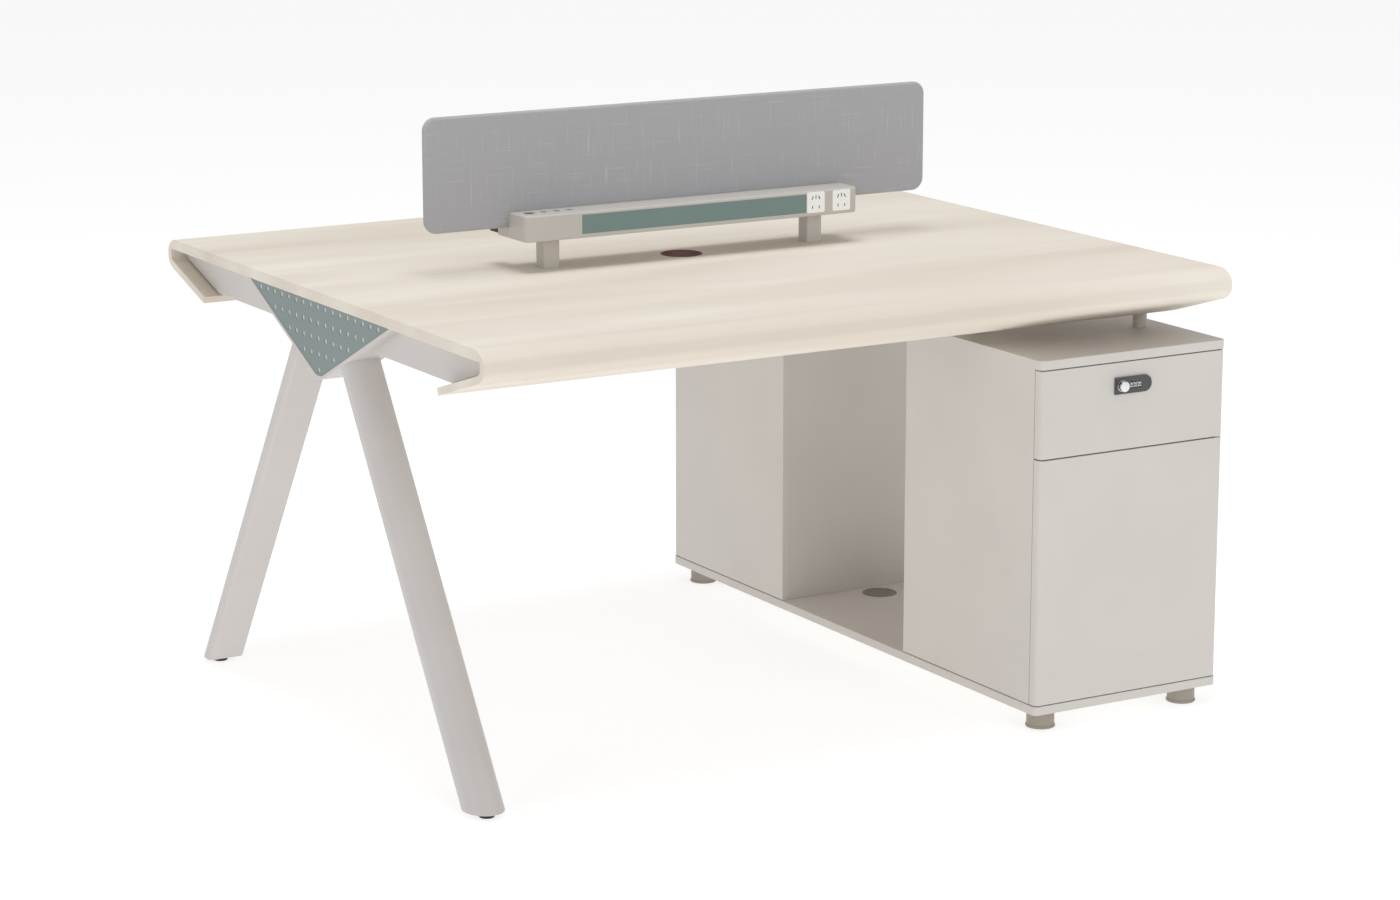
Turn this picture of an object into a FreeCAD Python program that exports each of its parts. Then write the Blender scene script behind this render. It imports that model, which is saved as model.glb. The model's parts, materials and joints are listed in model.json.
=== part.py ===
"""Face-to-face bench desk for two users: one STEP file per piece, in millimetres, +Z up.

The origin is on the floor under the middle of the desktop. +X runs along the desk towards the
cabinets, -Y is the front user's side and +Y the rear user's.
"""
import FreeCAD, Part
import math
import os

V = FreeCAD.Vector

# Desktop: a board whose long edges bend down and back in under it
desk_length = 1400.0
desk_depth = 1200.0
desk_height = 750.0
top_thickness = 18.0
nose_thickness = 12.5
nose_top_radius = 38.0
nose_bend_radius = 16.0
nose_root_radius = 45.0
nose_straight = 8.0
return_length = 137.0
nose_top_turn_deg = 50.0
nose_low_turn_deg = 140.0
return_slope_deg = 17.3
port_radius = 35.0
port_wall = 1.5

# End frame: beam, folded bracket with a perforated plate, and two splayed legs
beam_inset = 26.4
beam_width = 40.0
beam_height = 60.0
beam_wall = 2.5
beam_end_inset = 22.0
beam_return_gap = 4.0
beam_hole_radius = 15.0
beam_hole_share = 0.6
beam_screw_shares = (0.75, 0.3)
bracket_inset = 7.5
bracket_half_width = 285.0
bracket_drop = 135.0
bracket_wall = 6.0
bracket_web = 2.0
bracket_bend_radius = 46.0
plate_recess = 1.0
plate_thickness = 1.0
plate_hole_radius = 4.6
plate_hole_pitch_y = 28.0
plate_hole_pitch_z = 25.8
plate_hole_rise = 20.5
plate_hole_margin = 6.5
leg_width = 65.0
leg_depth = 45.0
leg_wall = 2.5
leg_corner_radius = 6.0
leg_foot_place = 520.0
leg_lean_share = 0.65
leveller_height = 9.0
leveller_radius = 12.5
leveller_stem_radius = 4.0
leveller_stem_length = 28.0
plug_height = 22.0
rail_width = 40.0
rail_height = 30.0
rail_wall = 2.0
rail_place = 250.0
rail_end_gap = 100.0
rail_screw_gap = 120.0
rail_screw_count = 4
access_radius = 6.0

# Cabinets: two carcasses back to back on one base board
cabinet_width = 376.0
cabinet_depth = 394.5
cabinet_end_inset = 5.5
cabinet_front_inset = 5.5
board_overhang = 1.0
foot_height = 32.0
foot_radius = 23.5
foot_flare_radius = 25.0
foot_flare_height = 5.0
foot_inset = 41.0
foot_stem_radius = 4.0
foot_stem_length = 10.0
base_thickness = 15.0
panel_thickness = 15.0
cabinet_top_thickness = 15.6
back_inset = 1.5
shadow_groove_height = 1.6
shadow_groove_depth = 2.0
front_thickness = 18.0
front_corner_radius = 8.0
board_corner_radius = 9.0
front_gap = 0.6
front_side_inset = 0.5
front_seam = 2.2
front_foot_gap = 1.6
front_head_gap = 1.8
drawer_front_height = 147.0
shelf_height = 205.0
shelf_setback = 14.0
block_size = 20.0
block_chamfer = 8.0
block_setback = 14.0
grommet_side_gap = 185.5
grommet_back_gap = 42.0
grommet_radius = 28.0
grommet_wall = 2.0
grommet_flange = 4.0
grommet_flange_height = 1.5
grommet_slot_radius = 8.0

# Drawers on two-stage runners
drawer_length = 340.0
drawer_height = 100.0
drawer_lift = 9.0
drawer_wall = 1.5
runner_space = 13.0
runner_height = 45.0
runner_sheet = 1.2
runner_gap = 0.3
runner_lift = 38.0
runner_step_share = 0.24
runner_reach_share = 0.46

# Doors on pivot pins
pivot_edge_offset = 8.0
pivot_face_offset = 7.5
pivot_radius = 3.0
pivot_play = 0.05
pivot_fit = 0.02
pivot_depth = 12.0
pivot_bore_depth = 7.0
pivot_tip_gap = 1.0
door_back_radius = 8.0
pivot_plate_thickness = 1.2
pivot_plate_gap = 0.5
pivot_plate_margin = 5.0
pivot_plate_reach = 25.0
catch_width = 16.0
catch_length = 25.0
catch_height = 30.0
catch_drop = 18.0
catch_gap = 0.3
strike_thickness = 1.2
strike_margin = 1.0

# Combination lock of each drawer
lock_length = 74.0
lock_height = 28.0
lock_thickness = 4.0
lock_offset = -4.0
lock_drop = 40.4
lock_edge_radius = 1.2
knob_offset = 13.0
knob_radius = 9.0
knob_base_radius = 9.5
knob_base_height = 1.5
knob_neck_radius = 6.0
knob_height = 9.5
knob_cap_height = 4.0
knob_edge_radius = 1.2
spindle_radius = 4.0
spindle_play = 0.05
barrel_radius = 9.5
barrel_fit = 0.1
cam_thickness = 2.0
cam_width = 12.0
cam_length = 45.0
cam_gap = 0.4
cam_slot_depth = 8.0
cam_slot_side = 8.0
cam_slot_sweep = 30.0
dial_radius = 9.0
dial_width = 5.8
dial_pitch = 8.0
dial_first_offset = 32.5
dial_proud = 1.5
dial_play = 0.4
dial_count = 3
dial_axle_radius = 1.5
dial_axle_play = 0.05
dial_case_wall = 1.2

# Posts between cabinets and desktop
post_radius = 12.0
post_height = 101.0
post_outer_end_gap = 55.0
post_front_gap = 170.0
post_inner_end_gap = 54.5
post_back_gap = 130.0
post_stud_radius = 4.0
post_stud_length = 12.0

# Accessory rail with upright holes and sockets, and the screen behind it: its middle, and
# that of the cable port, lies a little to the left of the desktop's
tray_centre_x = -11.0
tray_length = 650.0
tray_depth = 100.0
tray_lift = 52.0
tray_base_height = 18.0
tray_height = 44.0
tray_box_depth = 60.0
tray_wall = 2.0
tray_cap_thickness = 13.0
tray_cap_wall = 2.0
tray_cap_corner = 12.5
tray_edge_radius = 3.0
tray_post_width = 30.0
tray_post_end_gap = 67.0
tray_post_wall = 2.0
tray_post_plug = 18.0
tray_post_corner = 3.0
inlay_end_gap = 105.5
inlay_socket_gap = 0.5
inlay_height = 32.0
inlay_rise = 7.0
inlay_depth = 1.2
inlay_proud = 0.4
cup_row_place = 16.0
cup_depth = 34.0
cup_wall = 1.5
cup_bottom = 3.0
cup_rim = 2.5
cup_rim_height = 1.5
wide_cup_radius = 10.0
wide_cup_end_gap = 24.0
narrow_cup_radius = 6.0
narrow_cup_first_gap = 27.0
narrow_cup_pitch = 24.0
narrow_cup_count = 3
socket_size = 36.0
socket_corner = 3.0
socket_rise = 24.0
socket_end_gap = 35.0
socket_pitch = 52.0
socket_plate = 2.0
socket_proud = 1.2
socket_body_size = 30.0
socket_body_depth = 24.0
socket_slot_width = 1.8
socket_slot_length = 7.0
socket_low_slot_length = 5.5
socket_slot_depth = 12.0
socket_slot_spread = 6.8
socket_earth_rise = 9.5
socket_upper_rise = 7.8
socket_lower_drop = 8.4
socket_slot_lean_deg = 25.0
inlet_width = 26.0
inlet_height = 8.0
inlet_depth = 30.0
inlet_rise = 7.5
inlet_tail_radius = 3.5
inlet_tail_length = 16.0
inlet_tail_offset = 5.0
inlet_end_gap = 0.0
screen_length = 980.0
screen_height = 192.0
screen_thickness = 12.0
screen_corner_radius = 22.0
screen_cover_thickness = 1.0
clamp_width = 40.0
clamp_height = 42.0
clamp_foot = 24.0
clamp_sheet = 3.0
clamp_end_gap = 105.0
clamp_screw_spread = 12.0

# Fasteners
bolt_radius = 3.0
bolt_length = 30.0
bolt_head_radius = 5.0
bolt_head_height = 4.0
screw_radius = 2.0
screw_length = 12.0
screw_head_radius = 4.0
screw_head_height = 2.5
fastener_fit = 0.05

# Length by which a cutting shape runs past what it cuts
overrun = 5.0

# Places worked out from the sizes above
half_length = desk_length / 2
half_depth = desk_depth / 2
top_under = desk_height - top_thickness
beam_x = (-half_length + beam_inset, -half_length + beam_inset + beam_width)
beam_z = (top_under - beam_height, top_under)
leg_x = -half_length + bracket_inset + leg_width / 2
bracket_x = (-half_length + bracket_inset, -half_length + bracket_inset + leg_width)
apex_z = top_under - bracket_drop
bracket_slope = math.atan2(bracket_drop, bracket_half_width)
cab_x = (half_length - cabinet_end_inset - cabinet_width, half_length - cabinet_end_inset)
cab_mid_x = (cab_x[0] + cab_x[1]) / 2
inner_x = (cab_x[0] + panel_thickness, cab_x[1] - panel_thickness)
board_x = (cab_x[0] - board_overhang, cab_x[1] + board_overhang)
face_y = -half_depth + cabinet_front_inset
front_back_y = face_y + front_thickness
carcass_y = (front_back_y + front_gap, face_y + cabinet_depth)
back_y = (carcass_y[1] - back_inset - panel_thickness, carcass_y[1] - back_inset)
base_z = (foot_height, foot_height + base_thickness)
carcass_z = (base_z[1], top_under - post_height - cabinet_top_thickness)
cab_top_z = (carcass_z[1], carcass_z[1] + cabinet_top_thickness)
drawer_front_z = (carcass_z[1] - front_head_gap - drawer_front_height, carcass_z[1] - front_head_gap)
door_z = (carcass_z[0] + front_foot_gap, drawer_front_z[0] - front_seam)
divider_mid_z = (door_z[1] + drawer_front_z[0]) / 2
divider_z = (divider_mid_z - panel_thickness / 2, divider_mid_z + panel_thickness / 2)
shelf_z = (carcass_z[0] + shelf_height, carcass_z[0] + shelf_height + panel_thickness)
front_x = (cab_x[0] + front_side_inset, cab_x[1] - front_side_inset)
drawer_x = (inner_x[0] + runner_space, inner_x[1] - runner_space)
drawer_y = (front_back_y, front_back_y + drawer_length)
drawer_z = (divider_z[1] + drawer_lift, divider_z[1] + drawer_lift + drawer_height)
runner_z = divider_z[1] + drawer_lift + runner_lift
pivot_x = front_x[1] - pivot_edge_offset
pivot_y = face_y + pivot_face_offset
lock_z = carcass_z[1] - lock_drop
lock_face_y = face_y - lock_thickness
lock_x = (cab_mid_x + lock_offset - lock_length / 2, cab_mid_x + lock_offset + lock_length / 2)
knob_x = lock_x[0] + knob_offset
tray_y = (-tray_depth / 2, tray_depth / 2)
tray_z = (desk_height + tray_lift, desk_height + tray_lift + tray_height)
ledge_z = tray_z[0] + tray_base_height
screen_y = (tray_y[0] + tray_box_depth, tray_y[0] + tray_box_depth + screen_thickness)
tray_x = (tray_centre_x - tray_length / 2, tray_centre_x + tray_length / 2)
tray_body_x = (tray_x[0] + tray_cap_thickness, tray_x[1] - tray_cap_thickness)
tray_post_xs = (tray_x[0] + tray_post_end_gap, tray_x[1] - tray_post_end_gap)
clamp_xs = (tray_x[0] + clamp_end_gap, tray_x[1] - clamp_end_gap)
screen_x = (-screen_length / 2, screen_length / 2)
rail_x = (beam_x[1], half_length - rail_end_gap)
grommet_x = cab_x[0] + grommet_side_gap
grommet_y = -carcass_y[1] - grommet_back_gap


def block(x, y, z):
    """A box between two bounds along each axis."""
    return Part.makeBox(x[1] - x[0], y[1] - y[0], z[1] - z[0], V(x[0], y[0], z[0]))


def rod(radius, length, foot, along=V(0, 0, 1)):
    """A cylinder that starts at foot and runs along a direction."""
    return Part.makeCylinder(radius, length, foot, along)


def grown(bounds, amount):
    """Bounds moved outwards by an amount at both ends."""
    return (bounds[0] - amount, bounds[1] + amount)


def prism_x(outline, x):
    """A prism along X over an outline of (y, z) points."""
    points = [V(x[0], y, z) for y, z in outline]
    return Part.Face(Part.makePolygon(points + points[:1])).extrude(V(x[1] - x[0], 0, 0))


def rear(shape):
    """The same piece for the rear user, mirrored over the desk's middle plane."""
    return shape.mirror(V(0, 0, 0), V(0, 1, 0))


def rear_turned(shape):
    """The same piece for the rear user, turned half round so that it reads the right way."""
    turned = shape.copy()
    turned.rotate(V(cab_mid_x, 0, 0), V(0, 0, 1), math.degrees(math.pi))
    return turned


def both(shape):
    return [shape, rear(shape)]


def without(shape, cutters):
    """A shape less a list of cutting shapes."""
    return shape.cut(Part.makeCompound(cutters)) if cutters else shape


def save(name, pieces):
    """Writes a piece, or a list of like pieces, under the name of its node."""
    solids = []
    for piece in pieces if isinstance(pieces, list) else [pieces]:
        solids += piece.Solids
    shape = solids[0] if len(solids) == 1 else Part.makeCompound(solids)
    shape.exportStep("parts/" + name + ".step")


def rounded_at(shape, radius, ys):
    """A board with its upright edges at the given y rounded."""
    found = [
        edge for edge in edges_along(shape, V(0, 0, 1))
        if min(abs(edge.Vertexes[0].Point.y - y) for y in ys) < fastener_fit
    ]
    return shape.makeFillet(radius, found)


def edges_along(shape, direction):
    """The straight edges of a shape that run along a direction."""
    found = []
    for edge in shape.Edges:
        if isinstance(edge.Curve, Part.Line):
            if abs(edge.tangentAt(edge.FirstParameter).dot(direction)) > 0.999:
                found.append(edge)
    return found


# Fasteners: each is built with the hole that it needs in what it passes through
def bolt(head_seat, up=1):
    """A bolt whose head lies behind its seat, with its shank going up (1) or down (-1)."""
    along = V(0, 0, up)
    head = rod(bolt_head_radius, bolt_head_height, head_seat, along * -1)
    return head.fuse(rod(bolt_radius, bolt_length, head_seat, along)).removeSplitter()


def bolt_hole(head_seat, up=1):
    return rod(bolt_radius + fastener_fit, bolt_length + fastener_fit, head_seat, V(0, 0, up))


def screw(head_seat, along):
    head = rod(screw_head_radius, screw_head_height, head_seat, along * -1)
    return head.fuse(rod(screw_radius, screw_length, head_seat, along)).removeSplitter()


def screw_hole(head_seat, along):
    return rod(screw_radius + fastener_fit, screw_length + fastener_fit, head_seat, along)


UP = V(0, 0, 1)
DOWN = V(0, 0, -1)
post_places = [
    (cab_x[1] - post_outer_end_gap, half_depth - post_front_gap),
    (cab_x[0] + post_inner_end_gap, -carcass_y[1] + post_back_gap),
]
post_seats = [V(x, side * y, carcass_z[1]) for x, y in post_places for side in (-1, 1)]
tray_low_seats = [V(x, 0, top_under) for x in tray_post_xs]
tray_high_seats = [V(x, 0, tray_z[0] + tray_wall) for x in tray_post_xs]
beam_screw_seats = [
    V((beam_x[0] + beam_x[1]) / 2, side * share * half_depth, top_under - beam_wall)
    for share in beam_screw_shares for side in (-1, 1)
]
rail_screw_step = (rail_x[1] - rail_x[0] - 2 * rail_screw_gap) / (rail_screw_count - 1)
rail_screw_xs = [rail_x[0] + rail_screw_gap + i * rail_screw_step for i in range(rail_screw_count)]
rail_screw_seats = [
    V(x, side * rail_place, top_under - rail_wall) for x in rail_screw_xs for side in (-1, 1)
]
clamp_back_y = screen_y[1] + clamp_sheet
clamp_screw_seats = []
clamp_foot_seats = []
for clamp_x in clamp_xs:
    for x in (clamp_x - clamp_screw_spread, clamp_x + clamp_screw_spread):
        clamp_screw_seats.append(V(x, clamp_back_y, ledge_z + clamp_height / 2))
        clamp_foot_seats.append(V(x, screen_y[1] + clamp_foot / 2, ledge_z + clamp_sheet))


def bolts():
    made = [bolt(seat) for seat in post_seats + tray_low_seats]
    return made + [bolt(seat, -1) for seat in tray_high_seats]


def screws():
    made = [screw(seat, UP) for seat in beam_screw_seats + rail_screw_seats]
    made += [screw(seat, V(0, -1, 0)) for seat in clamp_screw_seats]
    return made + [screw(seat, DOWN) for seat in clamp_foot_seats]


# Desktop
class Path:
    """A run of lines and arcs in the (y, z) plane, turning downwards from the +Y heading."""

    def __init__(self, y, z, heading_deg=0.0):
        self.y = y
        self.z = z
        self.heading = math.radians(heading_deg)
        self.edges = []

    def line(self, length):
        start = V(0, self.y, self.z)
        self.y += length * math.cos(self.heading)
        self.z -= length * math.sin(self.heading)
        self.edges.append(Part.LineSegment(start, V(0, self.y, self.z)).toShape())
        return self

    def arc(self, radius, heading_deg):
        centre_y = self.y - radius * math.sin(self.heading)
        centre_z = self.z - radius * math.cos(self.heading)
        end = math.radians(heading_deg)
        middle = (self.heading + end) / 2
        points = [
            V(0, centre_y + radius * math.sin(a), centre_z + radius * math.cos(a))
            for a in (self.heading, middle, end)
        ]
        self.edges.append(Part.Arc(points[0], points[1], points[2]).toShape())
        self.y = points[2].y
        self.z = points[2].z
        self.heading = end
        return self


def nose_paths():
    """The outer and the inner run of the front edge, out to the lip of the return."""
    top_turn = math.radians(nose_top_turn_deg)
    reach = nose_top_radius * math.sin(top_turn) + nose_bend_radius * (1 - math.sin(top_turn))
    return_heading = math.degrees(math.pi) - return_slope_deg
    square_deg = math.degrees(math.pi / 2)
    outer = Path(half_depth - reach, desk_height)
    outer.arc(nose_top_radius, nose_top_turn_deg).arc(nose_bend_radius, square_deg).line(nose_straight)
    inner = Path(outer.y - nose_thickness, outer.z, square_deg)
    outer.arc(nose_bend_radius, nose_low_turn_deg).arc(nose_root_radius, return_heading)
    outer.line(return_length)
    inner.arc(nose_bend_radius - nose_thickness, nose_low_turn_deg)
    inner.arc(nose_root_radius - nose_thickness, return_heading).line(return_length)
    return outer, inner


def return_inside_z(y):
    """Height of the return's upper face at a distance from the desk's middle."""
    inner = nose_paths()[1]
    return inner.z + (y - inner.y) * math.tan(math.radians(return_slope_deg))


def desktop():
    outer, inner = nose_paths()
    flat_end = outer.edges[0].Vertexes[0].Point
    wall = inner.edges[0].Vertexes[0].Point
    corner = V(0, wall.y, top_under)
    half = outer.edges + inner.edges
    half.append(Part.LineSegment(V(0, outer.y, outer.z), V(0, inner.y, inner.z)).toShape())
    half.append(Part.LineSegment(wall, corner).toShape())
    other = [rear(edge) for edge in half]
    spans = [
        Part.LineSegment(V(0, -flat_end.y, desk_height), V(0, flat_end.y, desk_height)).toShape(),
        Part.LineSegment(V(0, -corner.y, top_under), V(0, corner.y, top_under)).toShape(),
    ]
    outline = Part.Wire(Part.__sortEdges__(half + other + spans))
    board = Part.Face(outline).extrude(V(desk_length, 0, 0))
    board.translate(V(-half_length, 0, 0))
    port_foot = V(tray_centre_x, 0, top_under - overrun)
    holes = [rod(port_radius, top_thickness + 2 * overrun, port_foot)]
    holes += [bolt_hole(seat) for seat in tray_low_seats]
    holes += [screw_hole(seat, UP) for seat in beam_screw_seats + rail_screw_seats]
    for seat in post_seats:
        stud = post_stud_length + fastener_fit
        holes.append(rod(post_stud_radius + fastener_fit, stud, V(seat.x, seat.y, top_under)))
    return without(board, holes)


def cable_port_liner():
    foot = V(tray_centre_x, 0, top_under)
    return rod(port_radius, top_thickness, foot).cut(rod(port_radius - port_wall, top_thickness, foot))


# End frame
def beam_outline(wall):
    """Half of the beam's face, drawn in by a wall: its end follows the desktop's return."""
    slope = math.radians(return_slope_deg)
    lift = (beam_return_gap + wall) / math.cos(slope)
    bottom = beam_z[0] + wall
    end = half_depth - beam_end_inset - wall
    foot = end - (return_inside_z(end) + lift - bottom) / math.tan(slope)
    return [(foot, bottom), (end, return_inside_z(end) + lift), (end, beam_z[1] - wall)]


def beam_solid(wall, x):
    half = beam_outline(wall)
    return prism_x(half + [(-y, z) for y, z in reversed(half)], x)


def end_beam():
    """The box beam across the desk's left end, with cable holes in its inner face."""
    tube = beam_solid(0.0, beam_x).cut(beam_solid(beam_wall, grown(beam_x, -beam_wall)))
    middle_z = (beam_z[0] + beam_z[1]) / 2
    holes = []
    for side in (-1, 1):
        foot = V(beam_x[1] - beam_wall - overrun / 2, side * beam_hole_share * half_depth, middle_z)
        holes.append(rod(beam_hole_radius, beam_wall + overrun, foot, V(1, 0, 0)))
    holes += [screw_hole(seat, UP) for seat in beam_screw_seats]
    return without(tube, holes)


def v_prism(inset, x):
    """The bracket's triangle along X, drawn in by an inset, with a rounded lower bend."""
    lift = inset / math.cos(bracket_slope)
    half = (bracket_drop - lift) / math.tan(bracket_slope)
    solid = prism_x([(-half, top_under), (0, apex_z + lift), (half, top_under)], x)
    bend = [
        edge for edge in edges_along(solid, V(1, 0, 0))
        if abs(edge.Vertexes[0].Point.z - apex_z - lift) < fastener_fit
    ]
    return solid.makeFillet(bracket_bend_radius - inset, bend)


plate_x = (bracket_x[0] + plate_recess, bracket_x[0] + plate_recess + plate_thickness)


def gusset_bracket():
    """The folded bracket that carries the legs: a V with a web, notched round the beam."""
    shell = v_prism(0.0, bracket_x).cut(v_prism(bracket_wall, grown(bracket_x, overrun)))
    web = v_prism(bracket_wall, (plate_x[1], plate_x[1] + bracket_web))
    notch_z = (beam_z[0], beam_z[1] + overrun)
    notch = block((beam_x[0], bracket_x[1] + overrun), grown((-half_depth, half_depth), overrun), notch_z)
    return shell.fuse(web).removeSplitter().cut(notch)


def gusset_plate():
    """The perforated plate on the bracket's web: each row has as many holes as fit."""
    plate = v_prism(bracket_wall, plate_x)
    holes = []
    rise = plate_hole_rise
    while apex_z + rise < top_under - plate_hole_radius:
        room = rise / math.tan(bracket_slope) - (bracket_wall + plate_hole_margin) / math.sin(bracket_slope)
        count = int(max(room, 0.0) / plate_hole_pitch_y)
        for i in range(-count, count + 1):
            foot = V(plate_x[0] - overrun, i * plate_hole_pitch_y, apex_z + rise)
            holes.append(rod(plate_hole_radius, plate_thickness + 2 * overrun, foot, V(1, 0, 0)))
        rise += plate_hole_pitch_z
    return without(plate, holes)


lean = math.atan(leg_lean_share)
leg_axis = V(0, math.sin(lean), math.cos(lean))
leg_normal = V(0, -math.cos(lean), math.sin(lean))
leg_blank_length = top_under / math.cos(lean) + 2 * leg_width


def leg_bar(inset):
    """A D-shaped bar along the front leg: flat inner side, round outer side."""
    half = leg_width / 2 - inset
    low = -leg_depth / 2 + inset
    spring = leg_depth / 2 - leg_width / 2
    bend = leg_corner_radius - inset
    swing = bend * (1 - math.cos(math.pi / 4))
    edges = [
        Part.LineSegment(V(-half + bend, low, 0), V(half - bend, low, 0)),
        Part.Arc(V(half - bend, low, 0), V(half - swing, low + swing, 0), V(half, low + bend, 0)),
        Part.LineSegment(V(half, low + bend, 0), V(half, spring, 0)),
        Part.Arc(V(half, spring, 0), V(0, spring + half, 0), V(-half, spring, 0)),
        Part.LineSegment(V(-half, spring, 0), V(-half, low + bend, 0)),
        Part.Arc(V(-half, low + bend, 0), V(-half + swing, low + swing, 0), V(-half + bend, low, 0)),
    ]
    face = Part.Face(Part.Wire([edge.toShape() for edge in edges]))
    bar = face.extrude(V(0, 0, leg_blank_length))
    turn = FreeCAD.Rotation(V(-1, 0, 0), leg_normal, leg_axis, "XYZ")
    foot = V(leg_x, -leg_foot_place, 0) - leg_axis * leg_width
    bar.Placement = FreeCAD.Placement(foot, turn)
    return bar


def leg_slab(z):
    reach = grown((-half_depth, half_depth), leg_width)
    return block(grown(bracket_x, leg_width), reach, z)


leg_bottom_y = -leg_foot_place + leg_lean_share * leveller_height


def front_leg():
    """The front leg: a tube cut level above its leveller and square against the bracket."""
    tube = leg_bar(0.0).cut(leg_bar(leg_wall))
    tube = tube.common(leg_slab((leveller_height, top_under)))
    return tube.cut(v_prism(0.0, grown(bracket_x, leg_width)))


def leg_levellers():
    """Per leg, a plug in the tube's foot, and a glide with its stem in the plug."""
    plug_z = (leveller_height, leveller_height + plug_height)
    plug = leg_bar(leg_wall + fastener_fit).common(leg_slab(plug_z))
    stem_foot = V(leg_x, leg_bottom_y, leveller_height)
    plug = plug.cut(rod(leveller_stem_radius + fastener_fit, plug_height, stem_foot))
    pad = rod(leveller_radius, leveller_height, V(leg_x, leg_bottom_y, 0))
    pad = pad.fuse(rod(leveller_stem_radius, leveller_stem_length, stem_foot)).removeSplitter()
    return both(plug) + both(pad)


def front_rail():
    """The rail under the desktop, a tube with access holes below its screws."""
    x = rail_x
    y = (-rail_place - rail_width / 2, -rail_place + rail_width / 2)
    z = (top_under - rail_height, top_under)
    tube = block(x, y, z).cut(block(grown(x, overrun), grown(y, -rail_wall), grown(z, -rail_wall)))
    holes = []
    for place in rail_screw_xs:
        holes.append(screw_hole(V(place, -rail_place, top_under - rail_wall), UP))
        holes.append(rod(access_radius, rail_wall + overrun, V(place, -rail_place, z[0] - overrun / 2)))
    return without(tube, holes)


# Cabinets: every function below makes the front user's piece
def base_board():
    """The one board that both carcasses stand on."""
    board = rounded_at(block(board_x, (face_y, -face_y), base_z), board_corner_radius, (face_y, -face_y))
    cuts = [rod(grommet_radius, base_thickness, V(grommet_x, grommet_y, base_z[0]))]
    for x, y in foot_places():
        cuts.append(rod(foot_stem_radius + fastener_fit, foot_stem_length + fastener_fit, V(x, y, base_z[0])))
    bore = rod(pivot_radius + pivot_play, pivot_bore_depth, V(pivot_x, pivot_y, base_z[1] - pivot_bore_depth))
    return without(board, cuts + both(bore))


def foot_places():
    xs = (cab_x[0] + foot_inset, cab_x[1] - foot_inset)
    return [(x, side * (face_y + foot_inset)) for x in xs for side in (1, -1)]


def cabinet_feet():
    """Round feet with a flared base and a stem up into the base board."""
    feet = []
    for x, y in foot_places():
        flare = Part.makeCone(foot_flare_radius, foot_radius, foot_flare_height, V(x, y, 0))
        column = rod(foot_radius, foot_height - foot_flare_height, V(x, y, foot_flare_height))
        stem = rod(foot_stem_radius, foot_stem_length, V(x, y, foot_height))
        feet.append(flare.fuse([column, stem]).removeSplitter())
    return feet


def base_grommet():
    """A cable grommet: a flanged sleeve and a cap with a half-round slot."""
    centre = V(grommet_x, grommet_y, base_z[0])
    top = V(grommet_x, grommet_y, base_z[1])
    inner = grommet_radius - grommet_wall
    sleeve = rod(grommet_radius, base_thickness, centre)
    sleeve = sleeve.fuse(rod(grommet_radius + grommet_flange, grommet_flange_height, top)).removeSplitter()
    sleeve = sleeve.cut(rod(inner, base_thickness + grommet_flange_height, centre))
    cap = rod(inner, grommet_flange_height, top)
    cap = cap.cut(rod(grommet_slot_radius, grommet_flange_height, top + V(inner, 0, 0)))
    return [sleeve, cap]


def carcass_sides():
    """Left and right sides with a shadow groove, and on the right a slot for the door's pivot plate."""
    z = carcass_z
    left = block((cab_x[0], inner_x[0]), carcass_y, z)
    right = block((inner_x[1], cab_x[1]), carcass_y, z)
    groove_z = (z[0], z[0] + shadow_groove_height)
    long_y = grown(carcass_y, overrun)
    left = left.cut(block((cab_x[0], cab_x[0] + shadow_groove_depth), long_y, groove_z))
    right = right.cut(block((cab_x[1] - shadow_groove_depth, cab_x[1]), long_y, groove_z))
    x, y, z = pivot_plate_bounds()
    right = right.cut(block(grown(x, fastener_fit), grown(y, fastener_fit), grown(z, fastener_fit)))
    return [left, right]


def back_panel():
    return block(inner_x, back_y, carcass_z)


def top_board():
    """The carcass top, with bolt holes for the posts and a slot for the lock's cam."""
    board = rounded_at(block(board_x, (face_y, carcass_y[1]), cab_top_z), board_corner_radius, (face_y,))
    cuts = [bolt_hole(seat) for seat in post_seats]
    slot_y = grown((cam_front_y, cam_front_y + cam_thickness), cam_gap)
    slot_x = (knob_x - cam_slot_side, knob_x + cam_slot_sweep)
    cuts.append(block(slot_x, slot_y, (cab_top_z[0], cab_top_z[0] + cam_slot_depth)))
    return without(board, cuts)


def rear_top_board():
    """The rear top board: the lock is turned, not mirrored, so its cam slot is too."""
    board = rounded_at(block(board_x, (-carcass_y[1], -face_y), cab_top_z), board_corner_radius, (-face_y,))
    cuts = [bolt_hole(seat) for seat in post_seats]
    slot_y = grown((cam_front_y, cam_front_y + cam_thickness), cam_gap)
    slot_x = (knob_x - cam_slot_side, knob_x + cam_slot_sweep)
    cuts.append(rear_turned(block(slot_x, slot_y, (cab_top_z[0], cab_top_z[0] + cam_slot_depth))))
    return without(board, cuts)


def inner_boards():
    """The divider under the drawer and the shelf in the cupboard."""
    y = (carcass_y[0], back_y[0])
    return [block(inner_x, y, divider_z), block(inner_x, (y[0] + shelf_setback, y[1]), shelf_z)]


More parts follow.
